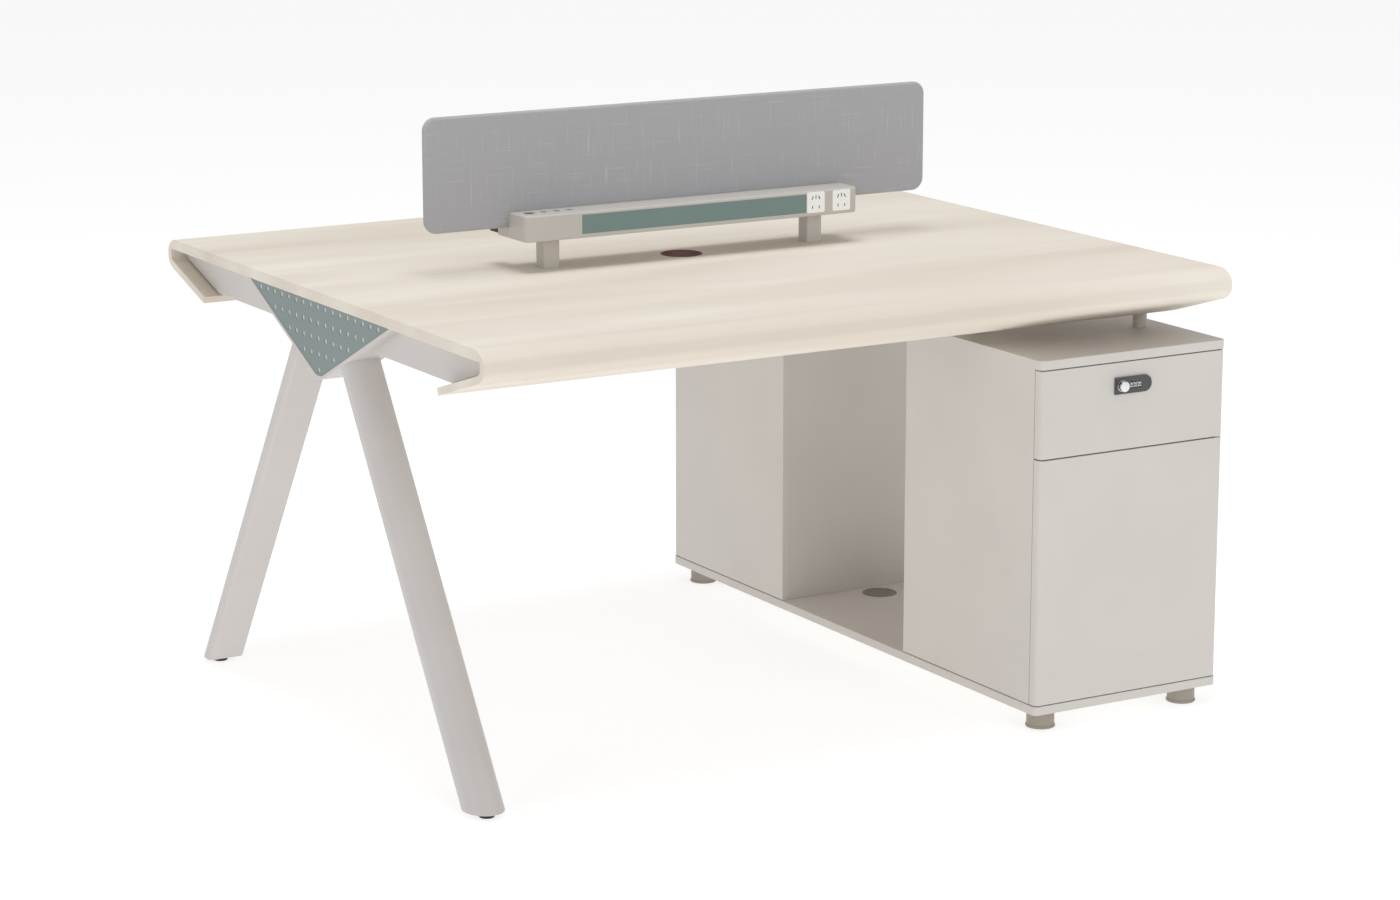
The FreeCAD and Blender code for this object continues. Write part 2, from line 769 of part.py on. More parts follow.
def corner_blocks():
    """Knock-down blocks in the carcass's corners: a bevelled block at each joint."""
    blocks = []
    for level, sign in ((carcass_z[0], 1), (carcass_z[1], -1)):
        z_out = level + sign * block_size
        z_bevel = level + sign * (block_size - block_chamfer)
        for wall_x, way in ((inner_x[0], 1), (inner_x[1], -1)):
            x_out = wall_x + way * block_size
            x_bevel = wall_x + way * (block_size - block_chamfer)
            for start in (carcass_y[0] + block_setback, back_y[0] - block_setback - block_size):
                outline = [
                    (wall_x, level), (x_out, level), (x_out, z_bevel), (x_bevel, z_out), (wall_x, z_out),
                ]
                points = [V(x, start, z) for x, z in outline]
                face = Part.Face(Part.makePolygon(points + points[:1]))
                blocks.append(face.extrude(V(0, block_size, 0)))
    return blocks


def door_catch():
    """The magnetic catch on the cupboard's free side, just clear of the door's strike."""
    x = (inner_x[0], inner_x[0] + catch_width)
    start = front_back_y + strike_thickness + catch_gap
    top = divider_z[0] - catch_drop
    return block(x, (start, start + catch_length), (top - catch_height, top))


def pivot_plate_bounds():
    low = door_z[1] + pivot_plate_gap
    x = (inner_x[1], pivot_x + pivot_plate_margin)
    y = (pivot_y - pivot_plate_margin, carcass_y[0] + pivot_plate_reach)
    return x, y, (low, low + pivot_plate_thickness)


def pivot_bracket():
    """The plate let into the side's front edge, in the seam above the door, that holds its upper pin."""
    x, y, z = pivot_plate_bounds()
    bore = rod(pivot_radius + pivot_play, pivot_plate_thickness, V(pivot_x, pivot_y, z[0]))
    return block(x, y, z).cut(bore)


# Runners
def channel(wall_x, way, depth, half_height, length_y):
    """A C section along Y: web at wall_x, open towards way."""
    x_all = sorted((wall_x, wall_x + way * depth))
    z_out = (runner_z - half_height, runner_z + half_height)
    full = block(x_all, length_y, z_out)
    room_x = sorted((wall_x + way * runner_sheet, wall_x + way * (depth + overrun)))
    return full.cut(block(room_x, grown(length_y, overrun), grown(z_out, -runner_sheet)))


def runner_members():
    """Cabinet, middle and drawer members of the left and right runners, nested with small gaps."""
    y = drawer_y
    carcass_run = (carcass_y[0], y[1])
    outer_half = runner_height / 2
    mid_half = outer_half - runner_sheet - runner_gap
    inner_half = mid_half - runner_sheet - runner_gap
    reach = runner_space * runner_reach_share
    step = runner_space * runner_step_share
    outer = []
    middle = []
    inner = []
    for wall_x, way in ((inner_x[0], 1), (inner_x[1], -1)):
        outer.append(channel(wall_x, way, runner_space - step, outer_half, carcass_run))
        middle.append(channel(wall_x + way * step, way, runner_space - 2 * step, mid_half, carcass_run))
        inner.append(channel(wall_x + way * runner_space, -way, reach, inner_half, y))
    return outer, middle, inner


# Drawer
def drawer_box():
    """A folded steel tray with a hole for the lock's barrel in its front wall."""
    tray = block(drawer_x, drawer_y, drawer_z)
    room_z = (drawer_z[0] + drawer_wall, drawer_z[1] + overrun)
    tray = tray.cut(block(grown(drawer_x, -drawer_wall), grown(drawer_y, -drawer_wall), room_z))
    foot = V(knob_x, drawer_y[0] - overrun / 2, lock_z)
    return tray.cut(rod(barrel_radius + barrel_fit, drawer_wall + overrun, foot, V(0, 1, 0)))


def front_board(z):
    """A drawer or door front with rounded upright edges."""
    return rounded_at(block(front_x, (face_y, front_back_y), z), front_corner_radius, (face_y,))


def drawer_front():
    return front_board(drawer_front_z).cut(lock_recess())


# Combination lock
cam_front_y = front_back_y + drawer_wall + cam_gap
dial_axis_y = lock_face_y + dial_radius - dial_proud
dial_block_back_y = dial_axis_y + dial_radius + dial_play + dial_case_wall
dial_xs = [lock_x[0] + dial_first_offset + i * dial_pitch for i in range(dial_count)]
dial_pocket_half = dial_width / 2 + dial_play
dial_block_x = (
    dial_xs[0] - dial_pocket_half - dial_case_wall,
    dial_xs[-1] + dial_pocket_half + dial_case_wall,
)
dial_block_half = dial_radius + dial_play + dial_case_wall


def lock_back(grow):
    """The parts of the lock behind its plate: the barrel and the box round the dials."""
    barrel_length = cam_front_y - cam_gap - face_y
    barrel = rod(barrel_radius + grow, barrel_length, V(knob_x, face_y, lock_z), V(0, 1, 0))
    z = grown((lock_z - dial_block_half, lock_z + dial_block_half), grow)
    box_y = (face_y, dial_block_back_y + grow)
    return barrel, block(grown(dial_block_x, grow), box_y, z)


def lock_recess():
    barrel, box = lock_back(barrel_fit)
    return barrel.fuse(box)


def lock_case():
    """The lock's body: a plate with one round end, windows for the dials, barrel and dial axle."""
    half = lock_height / 2
    plate_y = (lock_face_y, face_y)
    plate = block((lock_x[0], lock_x[1] - half), plate_y, (lock_z - half, lock_z + half))
    plate = plate.fuse(rod(half, lock_thickness, V(lock_x[1] - half, lock_face_y, lock_z), V(0, 1, 0)))
    plate = plate.removeSplitter()
    rim = [edge for edge in plate.Edges if abs(edge.BoundBox.YMax - lock_face_y) < fastener_fit]
    plate = plate.makeChamfer(lock_edge_radius, rim)
    barrel, box = lock_back(0.0)
    case = plate.fuse([barrel, box]).removeSplitter()
    reach = lock_thickness + front_thickness + 2 * overrun
    cuts = [rod(spindle_radius + spindle_play, reach, V(knob_x, lock_face_y - overrun, lock_z), V(0, 1, 0))]
    for x in dial_xs:
        foot = V(x - dial_pocket_half, dial_axis_y, lock_z)
        cuts.append(rod(dial_radius + dial_play, 2 * dial_pocket_half, foot, V(1, 0, 0)))
    axle_length = dial_block_x[1] - dial_block_x[0] - dial_case_wall
    axle_foot = V(dial_block_x[0] + dial_case_wall / 2, dial_axis_y, lock_z)
    axle = rod(dial_axle_radius, axle_length, axle_foot, V(1, 0, 0))
    return without(case, cuts).fuse(axle).removeSplitter()


def lock_knob():
    """The turn knob with its base ring and the spindle that carries the cam."""
    y = lock_face_y
    ring = rod(knob_base_radius, knob_base_height, V(knob_x, y, lock_z), V(0, -1, 0))
    neck = rod(knob_neck_radius, knob_height, V(knob_x, y, lock_z), V(0, -1, 0))
    cap_foot = V(knob_x, y - knob_height + knob_cap_height, lock_z)
    cap = rod(knob_radius, knob_cap_height, cap_foot, V(0, -1, 0))
    rim = [edge for edge in cap.Edges if abs(edge.BoundBox.YMax - (y - knob_height)) < fastener_fit]
    cap = cap.makeFillet(knob_edge_radius, rim)
    spindle_length = cam_front_y + cam_thickness - y
    spindle = rod(spindle_radius, spindle_length, V(knob_x, y, lock_z), V(0, 1, 0))
    return ring.fuse([neck, cap, spindle]).removeSplitter()


def lock_cam():
    """The cam on the spindle, lying along X when the lock is open."""
    half = cam_width / 2
    y = (cam_front_y, cam_front_y + cam_thickness)
    centre = V(knob_x, cam_front_y, lock_z)
    bar = block((knob_x, knob_x + cam_length), y, (lock_z - half, lock_z + half))
    bar = bar.fuse(rod(half, cam_thickness, centre, V(0, 1, 0))).removeSplitter()
    return bar.cut(rod(spindle_radius + pivot_fit, cam_thickness, centre, V(0, 1, 0)))


def lock_dial(x):
    """One number wheel on the dial axle."""
    foot = V(x - dial_width / 2, dial_axis_y, lock_z)
    wheel = rod(dial_radius, dial_width, foot, V(1, 0, 0))
    return wheel.cut(rod(dial_axle_radius + dial_axle_play, dial_width, foot, V(1, 0, 0)))


# Door
def door():
    """The door: its hinged edge is rounded behind, and each end has a hole for a pivot pin."""
    low = V(pivot_x, pivot_y, door_z[0])
    high = V(pivot_x, pivot_y, door_z[1] - pivot_depth)
    bores = [rod(pivot_radius + pivot_fit, pivot_depth, foot) for foot in (low, high)]
    board = front_board(door_z)
    at = V(front_x[1], front_back_y, door_z[0])
    hinged = [
        edge for edge in edges_along(board, V(0, 0, 1))
        if min(vertex.Point.distanceToPoint(at) for vertex in edge.Vertexes) < fastener_fit
    ]
    return without(board.makeFillet(door_back_radius, hinged), bores)


def door_hardware():
    """The door's two pivot pins and the steel strike of its catch."""
    low = base_z[1] - pivot_bore_depth + pivot_tip_gap
    low_pin = rod(pivot_radius, door_z[0] + pivot_depth - low, V(pivot_x, pivot_y, low))
    top = door_z[1] + pivot_plate_gap + pivot_plate_thickness
    high = door_z[1] - pivot_depth
    high_pin = rod(pivot_radius, top - high, V(pivot_x, pivot_y, high))
    x = (inner_x[0] + strike_margin, inner_x[0] + catch_width - strike_margin)
    top = divider_z[0] - catch_drop - strike_margin
    z = (top - catch_height + 2 * strike_margin, top)
    return [low_pin, high_pin, block(x, (front_back_y, front_back_y + strike_thickness), z)]


# Posts
def cabinet_posts():
    """Turned posts on the cabinets, bored for the bolt below and with a stud into the desktop."""
    posts = []
    for seat in post_seats:
        foot = V(seat.x, seat.y, cab_top_z[1])
        post = rod(post_radius, top_under - cab_top_z[1], foot)
        post = post.fuse(rod(post_stud_radius, post_stud_length, V(seat.x, seat.y, top_under)))
        posts.append(post.removeSplitter().cut(bolt_hole(seat)))
    return posts


# Accessory rail
def tray_posts():
    """Square tube posts with plugged ends that take the bolts."""
    posts = []
    half = tray_post_width / 2
    z = (desk_height, tray_z[0])
    for place in tray_post_xs:
        x = grown((place, place), half)
        post = block(x, (-half, half), z)
        post = post.makeFillet(tray_post_corner, edges_along(post, UP))
        room_z = grown(z, -tray_post_plug)
        room = block(grown(x, -tray_post_wall), (-half + tray_post_wall, half - tray_post_wall), room_z)
        cuts = [room, bolt_hole(V(place, 0, top_under))]
        cuts.append(bolt_hole(V(place, 0, tray_z[0] + tray_wall), -1))
        posts.append(without(post, cuts))
    return posts


def tray_outline(inset):
    """The rail's stepped section: a box in front and a low ledge behind."""
    return [
        (tray_y[0] + inset, tray_z[0] + inset),
        (tray_y[1] - inset, tray_z[0] + inset),
        (tray_y[1] - inset, ledge_z - inset),
        (screen_y[0] - inset, ledge_z - inset),
        (screen_y[0] - inset, tray_z[1] - inset),
        (tray_y[0] + inset, tray_z[1] - inset),
    ]


wide_cup_x = tray_x[0] + wide_cup_end_gap
narrow_cup_xs = [wide_cup_x + narrow_cup_first_gap + i * narrow_cup_pitch for i in range(narrow_cup_count)]
cup_places = [(wide_cup_x, wide_cup_radius)] + [(x, narrow_cup_radius) for x in narrow_cup_xs]
cup_y = -cup_row_place
cup_z = (tray_z[1] - tray_wall - cup_depth, tray_z[1] - tray_wall)
socket_xs = [tray_x[1] - socket_end_gap - i * socket_pitch for i in (1, 0)]
socket_z = tray_z[0] + socket_rise
inlay_x = (tray_x[0] + inlay_end_gap, socket_xs[0] - socket_size / 2 - inlay_socket_gap)


def tray_body():
    """The extruded rail: upright holes in its top, a recess and two cut-outs in its face."""
    solid = prism_x(tray_outline(0.0), tray_body_x)
    outer_edges = [
        edge for edge in edges_along(solid, V(1, 0, 0))
        if abs(edge.Vertexes[0].Point.z - ledge_z) > tray_wall
    ]
    solid = solid.makeFillet(tray_edge_radius, outer_edges)
    tube = solid.cut(prism_x(tray_outline(tray_wall), grown(tray_body_x, overrun)))
    inlay_z = (tray_z[0] + inlay_rise, tray_z[0] + inlay_rise + inlay_height)
    cuts = [block(inlay_x, (tray_y[0], tray_y[0] + inlay_depth), inlay_z)]
    body_half = socket_body_size / 2 + fastener_fit
    wall_y = grown((tray_y[0], tray_y[0] + tray_wall), overrun / 2)
    opening_z = (socket_z - body_half, socket_z + body_half)
    for x in socket_xs:
        cuts.append(block((x - body_half, x + body_half), wall_y, opening_z))
    for x, radius in cup_places:
        cuts.append(rod(radius, tray_wall + 2 * overrun, V(x, cup_y, cup_z[1] - overrun)))
    cuts += [bolt_hole(seat, -1) for seat in tray_high_seats]
    cuts += [screw_hole(seat, DOWN) for seat in clamp_foot_seats]
    tail = V(inlet_x + inlet_tail_offset, tray_y[1] - tray_wall - overrun / 2, inlet_z)
    cuts.append(rod(inlet_tail_radius, tray_wall + overrun, tail, V(0, 1, 0)))
    return without(tube, cuts)


def cap_solid(inset, x, corner):
    """The rail's section along X, with its front corner at the far end rounded."""
    solid = prism_x(tray_outline(inset), x)
    at = V(x[1], tray_y[0] + inset, tray_z[0] + inset)
    return solid.makeFillet(corner, [
        edge for edge in edges_along(solid, V(0, 0, 1))
        if min(vertex.Point.distanceToPoint(at) for vertex in edge.Vertexes) < fastener_fit
    ])


def tray_end_caps():
    """Hollow moulded caps that carry the rail's section round its front corners."""
    solid = cap_solid(0.0, (tray_body_x[1], tray_x[1]), tray_cap_corner)
    solid = solid.makeFillet(tray_edge_radius, [
        edge for edge in edges_along(solid, V(1, 0, 0))
        if abs(edge.Vertexes[0].Point.z - ledge_z) > tray_wall
    ])
    room_x = (tray_body_x[1] - overrun, tray_x[1] - tray_cap_wall)
    right = solid.cut(cap_solid(tray_wall, room_x, tray_cap_corner - tray_cap_wall))
    return [right, right.mirror(V(tray_centre_x, 0, 0), V(1, 0, 0))]


def tray_inlay():
    z = (tray_z[0] + inlay_rise, tray_z[0] + inlay_rise + inlay_height)
    y = (tray_y[0] - inlay_proud, tray_y[0] + inlay_depth)
    return block(inlay_x, y, z)


def holder_cups():
    """The cups under the rail's upright holes, each with a rim against the rail's top wall."""
    cups = []
    for x, radius in cup_places:
        cup = rod(radius + cup_wall, cup_depth, V(x, cup_y, cup_z[0]))
        rim = rod(radius + cup_wall + cup_rim, cup_rim_height, V(x, cup_y, cup_z[1] - cup_rim_height))
        bore = rod(radius, cup_depth, V(x, cup_y, cup_z[0] + cup_bottom))
        cups.append(cup.fuse(rim).removeSplitter().cut(bore))
    return cups


def socket_slot(x, rise, length, lean_deg=0.0):
    """One contact slot, leaning by an angle in the socket's face."""
    y = (tray_y[0] - socket_proud - overrun, tray_y[0] - socket_proud + socket_slot_depth)
    half = socket_slot_width / 2
    slot = block((x - half, x + half), y, (-length / 2, length / 2))
    slot.rotate(V(x, 0, 0), V(0, 1, 0), lean_deg)
    slot.translate(V(0, 0, socket_z + rise))
    return slot


def socket_module(x):
    """A five-slot mains socket: a square plate on a square body."""
    half = socket_size / 2
    front = tray_y[0] - socket_proud
    plate = block((x - half, x + half), (front, tray_y[0]), (socket_z - half, socket_z + half))
    plate = plate.makeFillet(socket_corner, edges_along(plate, V(0, 1, 0)))
    body_half = socket_body_size / 2
    body_y = (tray_y[0], tray_y[0] + socket_body_depth)
    body = block((x - body_half, x + body_half), body_y, (socket_z - body_half, socket_z + body_half))
    slots = [
        socket_slot(x, socket_earth_rise, socket_slot_length),
        socket_slot(x - socket_slot_spread, socket_upper_rise, socket_slot_length, socket_slot_lean_deg),
        socket_slot(x + socket_slot_spread, socket_upper_rise, socket_slot_length, -socket_slot_lean_deg),
        socket_slot(x - socket_slot_spread, -socket_lower_drop, socket_low_slot_length),
        socket_slot(x + socket_slot_spread, -socket_lower_drop, socket_low_slot_length),
    ]
    return without(plate.fuse(body).removeSplitter(), slots)


inlet_x = tray_x[0] + inlet_end_gap + inlet_width / 2
inlet_z = tray_z[0] + inlet_rise


def power_inlet():
    """The black mains inlet on the rail's rear left corner, with its gland through the wall."""
    x = (inlet_x - inlet_width / 2, inlet_x + inlet_width / 2)
    z = (inlet_z - inlet_height / 2, inlet_z + inlet_height / 2)
    body = block(x, (tray_y[1], tray_y[1] + inlet_depth), z)
    foot = V(inlet_x + inlet_tail_offset, tray_y[1] - inlet_tail_length, inlet_z)
    return body.fuse(rod(inlet_tail_radius, inlet_tail_length, foot, V(0, 1, 0))).removeSplitter()


# Screen
def screen_slab(inset):
    """The screen's outline with rounded corners, drawn in everywhere but at its bottom edge."""
    slab = block(grown(screen_x, -inset), grown(screen_y, -inset), (ledge_z, ledge_z + screen_height - inset))
    return slab.makeFillet(screen_corner_radius - inset, edges_along(slab, V(0, 1, 0)))


def screen_core():
    """The stiff board inside the screen."""
    holes = [screw_hole(seat, V(0, -1, 0)) for seat in clamp_screw_seats]
    return without(screen_slab(screen_cover_thickness), holes)


def screen_cover():
    """The fabric round the board, open along the bottom edge."""
    holes = [screw_hole(seat, V(0, -1, 0)) for seat in clamp_screw_seats]
    return without(screen_slab(0.0), [screen_slab(screen_cover_thickness)] + holes)


def screen_clamps():
    """Angle clamps on the ledge that hold the screen against the rail's box."""
    clamps = []
    for place in clamp_xs:
        x = grown((place, place), clamp_width / 2)
        foot = block(x, (screen_y[1], screen_y[1] + clamp_foot), (ledge_z, ledge_z + clamp_sheet))
        wall = block(x, (screen_y[1], clamp_back_y), (ledge_z, ledge_z + clamp_height))
        holes = [screw_hole(seat, V(0, -1, 0)) for seat in clamp_screw_seats]
        holes += [screw_hole(seat, DOWN) for seat in clamp_foot_seats]
        clamps.append(without(foot.fuse(wall).removeSplitter(), holes))
    return clamps


def build_desk():
    save("desktop", desktop())
    save("cable_port_liner", cable_port_liner())
    save("end_beam", end_beam())
    save("gusset_bracket", gusset_bracket())
    save("gusset_plate", gusset_plate())
    save("front_leg", front_leg())
    save("rear_leg", rear(front_leg()))
    save("leg_levellers", leg_levellers())
    save("front_rail", front_rail())
    save("rear_rail", rear(front_rail()))
    save("cabinet_posts", cabinet_posts())
    save("mounting_bolts", bolts())
    save("mounting_screws", screws())


def build_accessories():
    save("tray_posts", tray_posts())
    save("tray_body", tray_body())
    save("tray_end_caps", tray_end_caps())
    save("tray_inlay", tray_inlay())
    save("holder_cups", holder_cups())
    save("left_socket", socket_module(socket_xs[0]))
    save("right_socket", socket_module(socket_xs[1]))
    save("power_inlet", power_inlet())
    save("screen_core", screen_core())
    save("screen_cover", screen_cover())
    save("screen_clamps", screen_clamps())


def build_carcasses():
    sides = carcass_sides()
    outer, middle, inner = runner_members()
    save("base_board", base_board())
    save("base_grommet", base_grommet())
    save("cabinet_feet", cabinet_feet())
    save("front_cabinet_sides", sides)
    save("rear_cabinet_sides", [rear(side) for side in sides])
    save("cabinet_backs", both(back_panel()))
    save("cabinet_tops", [top_board(), rear_top_board()])
    save("inner_boards", [copy for board in inner_boards() for copy in both(board)])
    save("corner_blocks", [copy for item in corner_blocks() for copy in both(item)])
    save("door_catches", both(door_catch()))
    save("pivot_brackets", both(pivot_bracket()))
    save("runner_channels", [copy for member in outer for copy in both(member)])
    save("front_runner_sliders", middle)
    save("rear_runner_sliders", [rear(member) for member in middle])
    save("front_drawer_runners", inner)
    save("rear_drawer_runners", [rear(member) for member in inner])


def build_moving():
    save("front_door", door())
    save("rear_door", rear(door()))
    save("front_door_hardware", door_hardware())
    save("rear_door_hardware", [rear(piece) for piece in door_hardware()])
    for name, place in (("front", lambda shape: shape), ("rear", rear_turned)):
        save(name + "_drawer_front", place(drawer_front()))
        save(name + "_drawer_box", place(drawer_box()))
        save(name + "_lock_case", place(lock_case()))
        save(name + "_lock_knob", place(lock_knob()))
        save(name + "_lock_cam", place(lock_cam()))
        for i, x in enumerate(dial_xs):
            save(name + "_lock_dial_" + str(i + 1), place(lock_dial(x)))


os.makedirs("parts", exist_ok=True)
build_desk()
build_accessories()
build_carcasses()
build_moving()
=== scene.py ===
"""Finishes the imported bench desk: its surfaces, soft edges, small parts, studio and camera.

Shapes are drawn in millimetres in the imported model's own frame and turned to metres when a piece
is finished, so every piece sits where the frame says and rides on one of its bodies.
"""

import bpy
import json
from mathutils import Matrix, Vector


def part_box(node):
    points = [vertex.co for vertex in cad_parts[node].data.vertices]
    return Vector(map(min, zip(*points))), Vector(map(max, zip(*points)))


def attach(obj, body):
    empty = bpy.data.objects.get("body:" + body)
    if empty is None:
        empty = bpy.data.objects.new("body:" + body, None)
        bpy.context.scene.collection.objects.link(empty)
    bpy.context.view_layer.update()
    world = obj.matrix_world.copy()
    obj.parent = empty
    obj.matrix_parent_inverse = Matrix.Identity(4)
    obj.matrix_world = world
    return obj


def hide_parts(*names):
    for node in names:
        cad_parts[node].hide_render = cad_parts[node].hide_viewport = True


bl_info = {
    "name": "Bench Desk Finish",
    "version": (1, 0, 0),
    "blender": (4, 5, 0),
    "location": "View3D > Sidebar > Bench Desk",
    "description": "Builds the visible pieces and finishes of a two-person bench desk",
    "category": "Object",
}

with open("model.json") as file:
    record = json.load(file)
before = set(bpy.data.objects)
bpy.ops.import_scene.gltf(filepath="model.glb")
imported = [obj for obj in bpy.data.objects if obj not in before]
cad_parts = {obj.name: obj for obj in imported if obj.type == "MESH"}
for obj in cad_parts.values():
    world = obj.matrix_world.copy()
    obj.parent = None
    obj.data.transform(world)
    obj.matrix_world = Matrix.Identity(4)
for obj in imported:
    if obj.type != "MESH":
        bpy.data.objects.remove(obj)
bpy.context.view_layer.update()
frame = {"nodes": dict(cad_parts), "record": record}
import json
import math
import bmesh
import bpy
from bpy.props import BoolProperty, FloatProperty, FloatVectorProperty, IntProperty, PointerProperty
from mathutils import Matrix, Vector

MM = 0.001
NODES = frame["nodes"]
SLOT_OF = {part["node"]: part["material_slot"] for part in frame["record"]["subparts"]}
SIDES = (("front", -1), ("rear", 1))
QUARTER = math.pi / 2
FULL = 2 * math.pi
FINISHES = {}

# Two places nearer than this are one, a cutter reaches this far past what it cuts, and an edge
# whose run has this share along an axis lies along it
NEAR = 0.01
OVERRUN = 5.0
ALONG = 0.999

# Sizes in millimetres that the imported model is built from
TOP = 750.0
TOP_THICK = 18.0
UNDER = TOP - TOP_THICK
HALF_X = 700.0
HALF_Y = 600.0
MID_X = -11.0
BEAM_X = (-673.6, -633.6)
BEAM_HEIGHT = 60.0
BRACKET_X = (-692.5, -627.5)
APEX_Z = 597.0
BRACKET_HALF = 285.0
GLIDE = 9.0
RAIL_Y = 250.0
RAIL_SCREW_XS = [-513.6 + 331.2 * i for i in range(4)]
PANEL = 15.0
PIVOT_X = 686.0
PIVOT_Y = 587.0
LOCK_Z = 575.0


def srgb(code):
    """Turns an sRGB hex value into a linear colour."""
    parts = [int(code[i:i + 2], 16) / 255 for i in (1, 3, 5)]
    return tuple(p / 12.92 if p <= 0.04045 else ((p + 0.055) / 1.055) ** 2.4 for p in parts)


def length_of(name, words, default):
    """A size that a user may change, kept in metres."""
    return FloatProperty(name=name, description=words, default=default * MM, min=0.0, precision=5,
                         subtype="DISTANCE", unit="LENGTH")


def colour_of(name, words, code):
    return FloatVectorProperty(name=name, description=words, default=srgb(code), min=0.0, max=1.0,
                               size=3, subtype="COLOR")


def power_of(name, words, watts):
    return FloatProperty(name=name, description=words, default=watts, min=0.0, subtype="POWER", unit="POWER")


class BenchDeskSizes(bpy.types.PropertyGroup):
    """Sizes of edges and details."""
    board_ease: length_of("Board edge", "Easing along the edges of laminated boards", 0.7)
    top_ease: length_of("Desktop end edge", "Easing round the ends of the desktop", 0.9)
    tube_corner: length_of("Tube corner", "Outer corner radius of the square tubes", 3.0)
    screen_edge: length_of("Screen edge", "Rounding of the screen's fabric over the board's edge", 4.6)
    front_corner: length_of("Front corner", "Rounding of the upright edges of doors and drawers", 8.0)
    board_corner: length_of("Board corner", "Rounding of the corners of cabinet tops and base", 9.0)
    dial_flats: IntProperty(name="Dial positions", description="Numbers on each wheel of the locks",
                            default=10, min=6, max=12)
    dial_digits: BoolProperty(name="Dial numbers", description="Put plain numbers on the lock's wheels",
                              default=True)


class BenchDeskColours(bpy.types.PropertyGroup):
    """Colours of the finishes."""
    maple_light: colour_of("Maple light", "Lighter print of the desktop", "#EEE7DB")
    maple_dark: colour_of("Maple dark", "Darker print of the desktop", "#DED4C6")
    frame_white: colour_of("Frame white", "Powder coat of the legs and beam", "#CFCAC7")
    sage: colour_of("Bracket plate", "Powder coat of the perforated plate", "#808F8E")
    pine: colour_of("Rail strip", "Moulded strip in the rail's face", "#768C8A")
    rail_grey: colour_of("Rail grey", "Powder coat of the accessory rail", "#C5C1BB")
    post_taupe: colour_of("Post taupe", "Powder coat of the posts", "#CBC6C0")
    cabinet_grey: colour_of("Cabinet grey", "Melamine of the cabinets", "#D5D0CA")
    fabric_light: colour_of("Screen light", "Slubs of the screen's fabric", "#C4C4C7")
    fabric_dark: colour_of("Screen dark", "Ground of the screen's fabric", "#ABABAF")
    lock_grey: colour_of("Lock grey", "Body of the locks", "#4E4D4D")
    # The port liner's dark brown is the bore's brown wall with its shade painted into the colour
    port_brown: colour_of("Port brown", "Liner of the cable port", "#5F4038")


class BenchDeskStudio(bpy.types.PropertyGroup):
    """Floor and light."""
    floor_tone: colour_of("Floor", "Colour of the studio floor", "#C4C4C4")
    floor_glow: FloatProperty(name="Floor glow", description="Light that the lit paper floor gives off",
                              default=0.64, min=0.0)
    sky_strength: FloatProperty(name="Sky light", description="Strength of the light from all round",
                                default=0.5, min=0.0)
    key_power: power_of("Key light", "Power of the softbox overhead", 122.0)
    side_power: power_of("Side light", "Power of the softbox on the left", 16.0)
    front_power: power_of("Front light", "Power of the softbox in front", 32.0)


def sizes():
    return bpy.context.scene.bench_desk_sizes


def colours():
    return bpy.context.scene.bench_desk_colours


# Helpers for shapes, all in millimetres
def shape(draw, *places, **options):
    """A new shape that one of the functions below draws."""
    bm = bmesh.new()
    draw(bm, *places, **options)
    return bm


def corners(node):
    """A node's lowest and highest corner."""
    low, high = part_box(node)
    return Vector(low) / MM, Vector(high) / MM


def slab(bm, low, high):
    """Adds a box between two corners."""
    low, high = Vector(low), Vector(high)
    made = bmesh.ops.create_cube(bm, size=1.0)["verts"]
    bmesh.ops.scale(bm, vec=high - low, verts=made)
    bmesh.ops.translate(bm, vec=(low + high) / 2, verts=made)
    return made


def rounded(bm, edges, radius, segments=4, clamp=True):
    """Rounds edges."""
    if edges and radius > 0:
        bmesh.ops.bevel(bm, geom=edges, offset=radius, offset_type="OFFSET", segments=segments,
                        profile=0.5, affect="EDGES", material=-1, clamp_overlap=clamp)


def rounded_points(bm, verts, radius, segments):
    """Rounds the corners of a flat outline."""
    bmesh.ops.bevel(bm, geom=verts, offset=radius, offset_type="OFFSET", segments=segments, profile=0.5,
                    affect="VERTICES", material=-1)


def edges_along(bm, axis, test=lambda middle: True):
    """The edges that run along an axis and whose middle passes a test."""
    found = []
    for edge in bm.edges:
        run = (edge.verts[1].co - edge.verts[0].co).normalized()
        if abs(run[axis]) > ALONG and test((edge.verts[0].co + edge.verts[1].co) / 2):
            found.append(edge)
    return found


def lies_at(item, axis, place):
    """Whether an edge or a face lies at one place along an axis."""
    return all(abs(v.co[axis] - place) < NEAR for v in item.verts)


def ease(bm, amount, segments=2, angle=45.0, clamp=True):
    """Rounds every edge sharper than an angle in degrees by a small amount."""
    sharp = [e for e in bm.edges if len(e.link_faces) == 2 and e.calc_face_angle() > math.radians(angle)]
    rounded(bm, sharp, amount, segments, clamp)


def push(bm, faces, vec):
    """Extrudes faces along a vector."""
    made = bmesh.ops.extrude_face_region(bm, geom=faces)["geom"]
    verts = [v for v in made if isinstance(v, bmesh.types.BMVert)]
    bmesh.ops.translate(bm, vec=Vector(vec), verts=verts)


def prism(bm, outline, axis, start, end, radius=0.0, keep=()):
    """A prism over a few points, with rounded corners except those kept sharp."""
    ring = [(1, 2), (0, 2), (0, 1)][axis]
    verts = []
    for point in outline:
        place = [0.0, 0.0, 0.0]
        place[axis] = start
        place[ring[0]], place[ring[1]] = point
        verts.append(bm.verts.new(place))
    face = bm.faces.new(verts)
    if radius:
        rounded_points(bm, [v for i, v in enumerate(verts) if i not in keep], radius, 4)
        face = max((f for f in bm.faces if lies_at(f, axis, start)), key=lambda f: f.calc_area())
    vec = [0.0, 0.0, 0.0]
    vec[axis] = end - start
    push(bm, [face], vec)


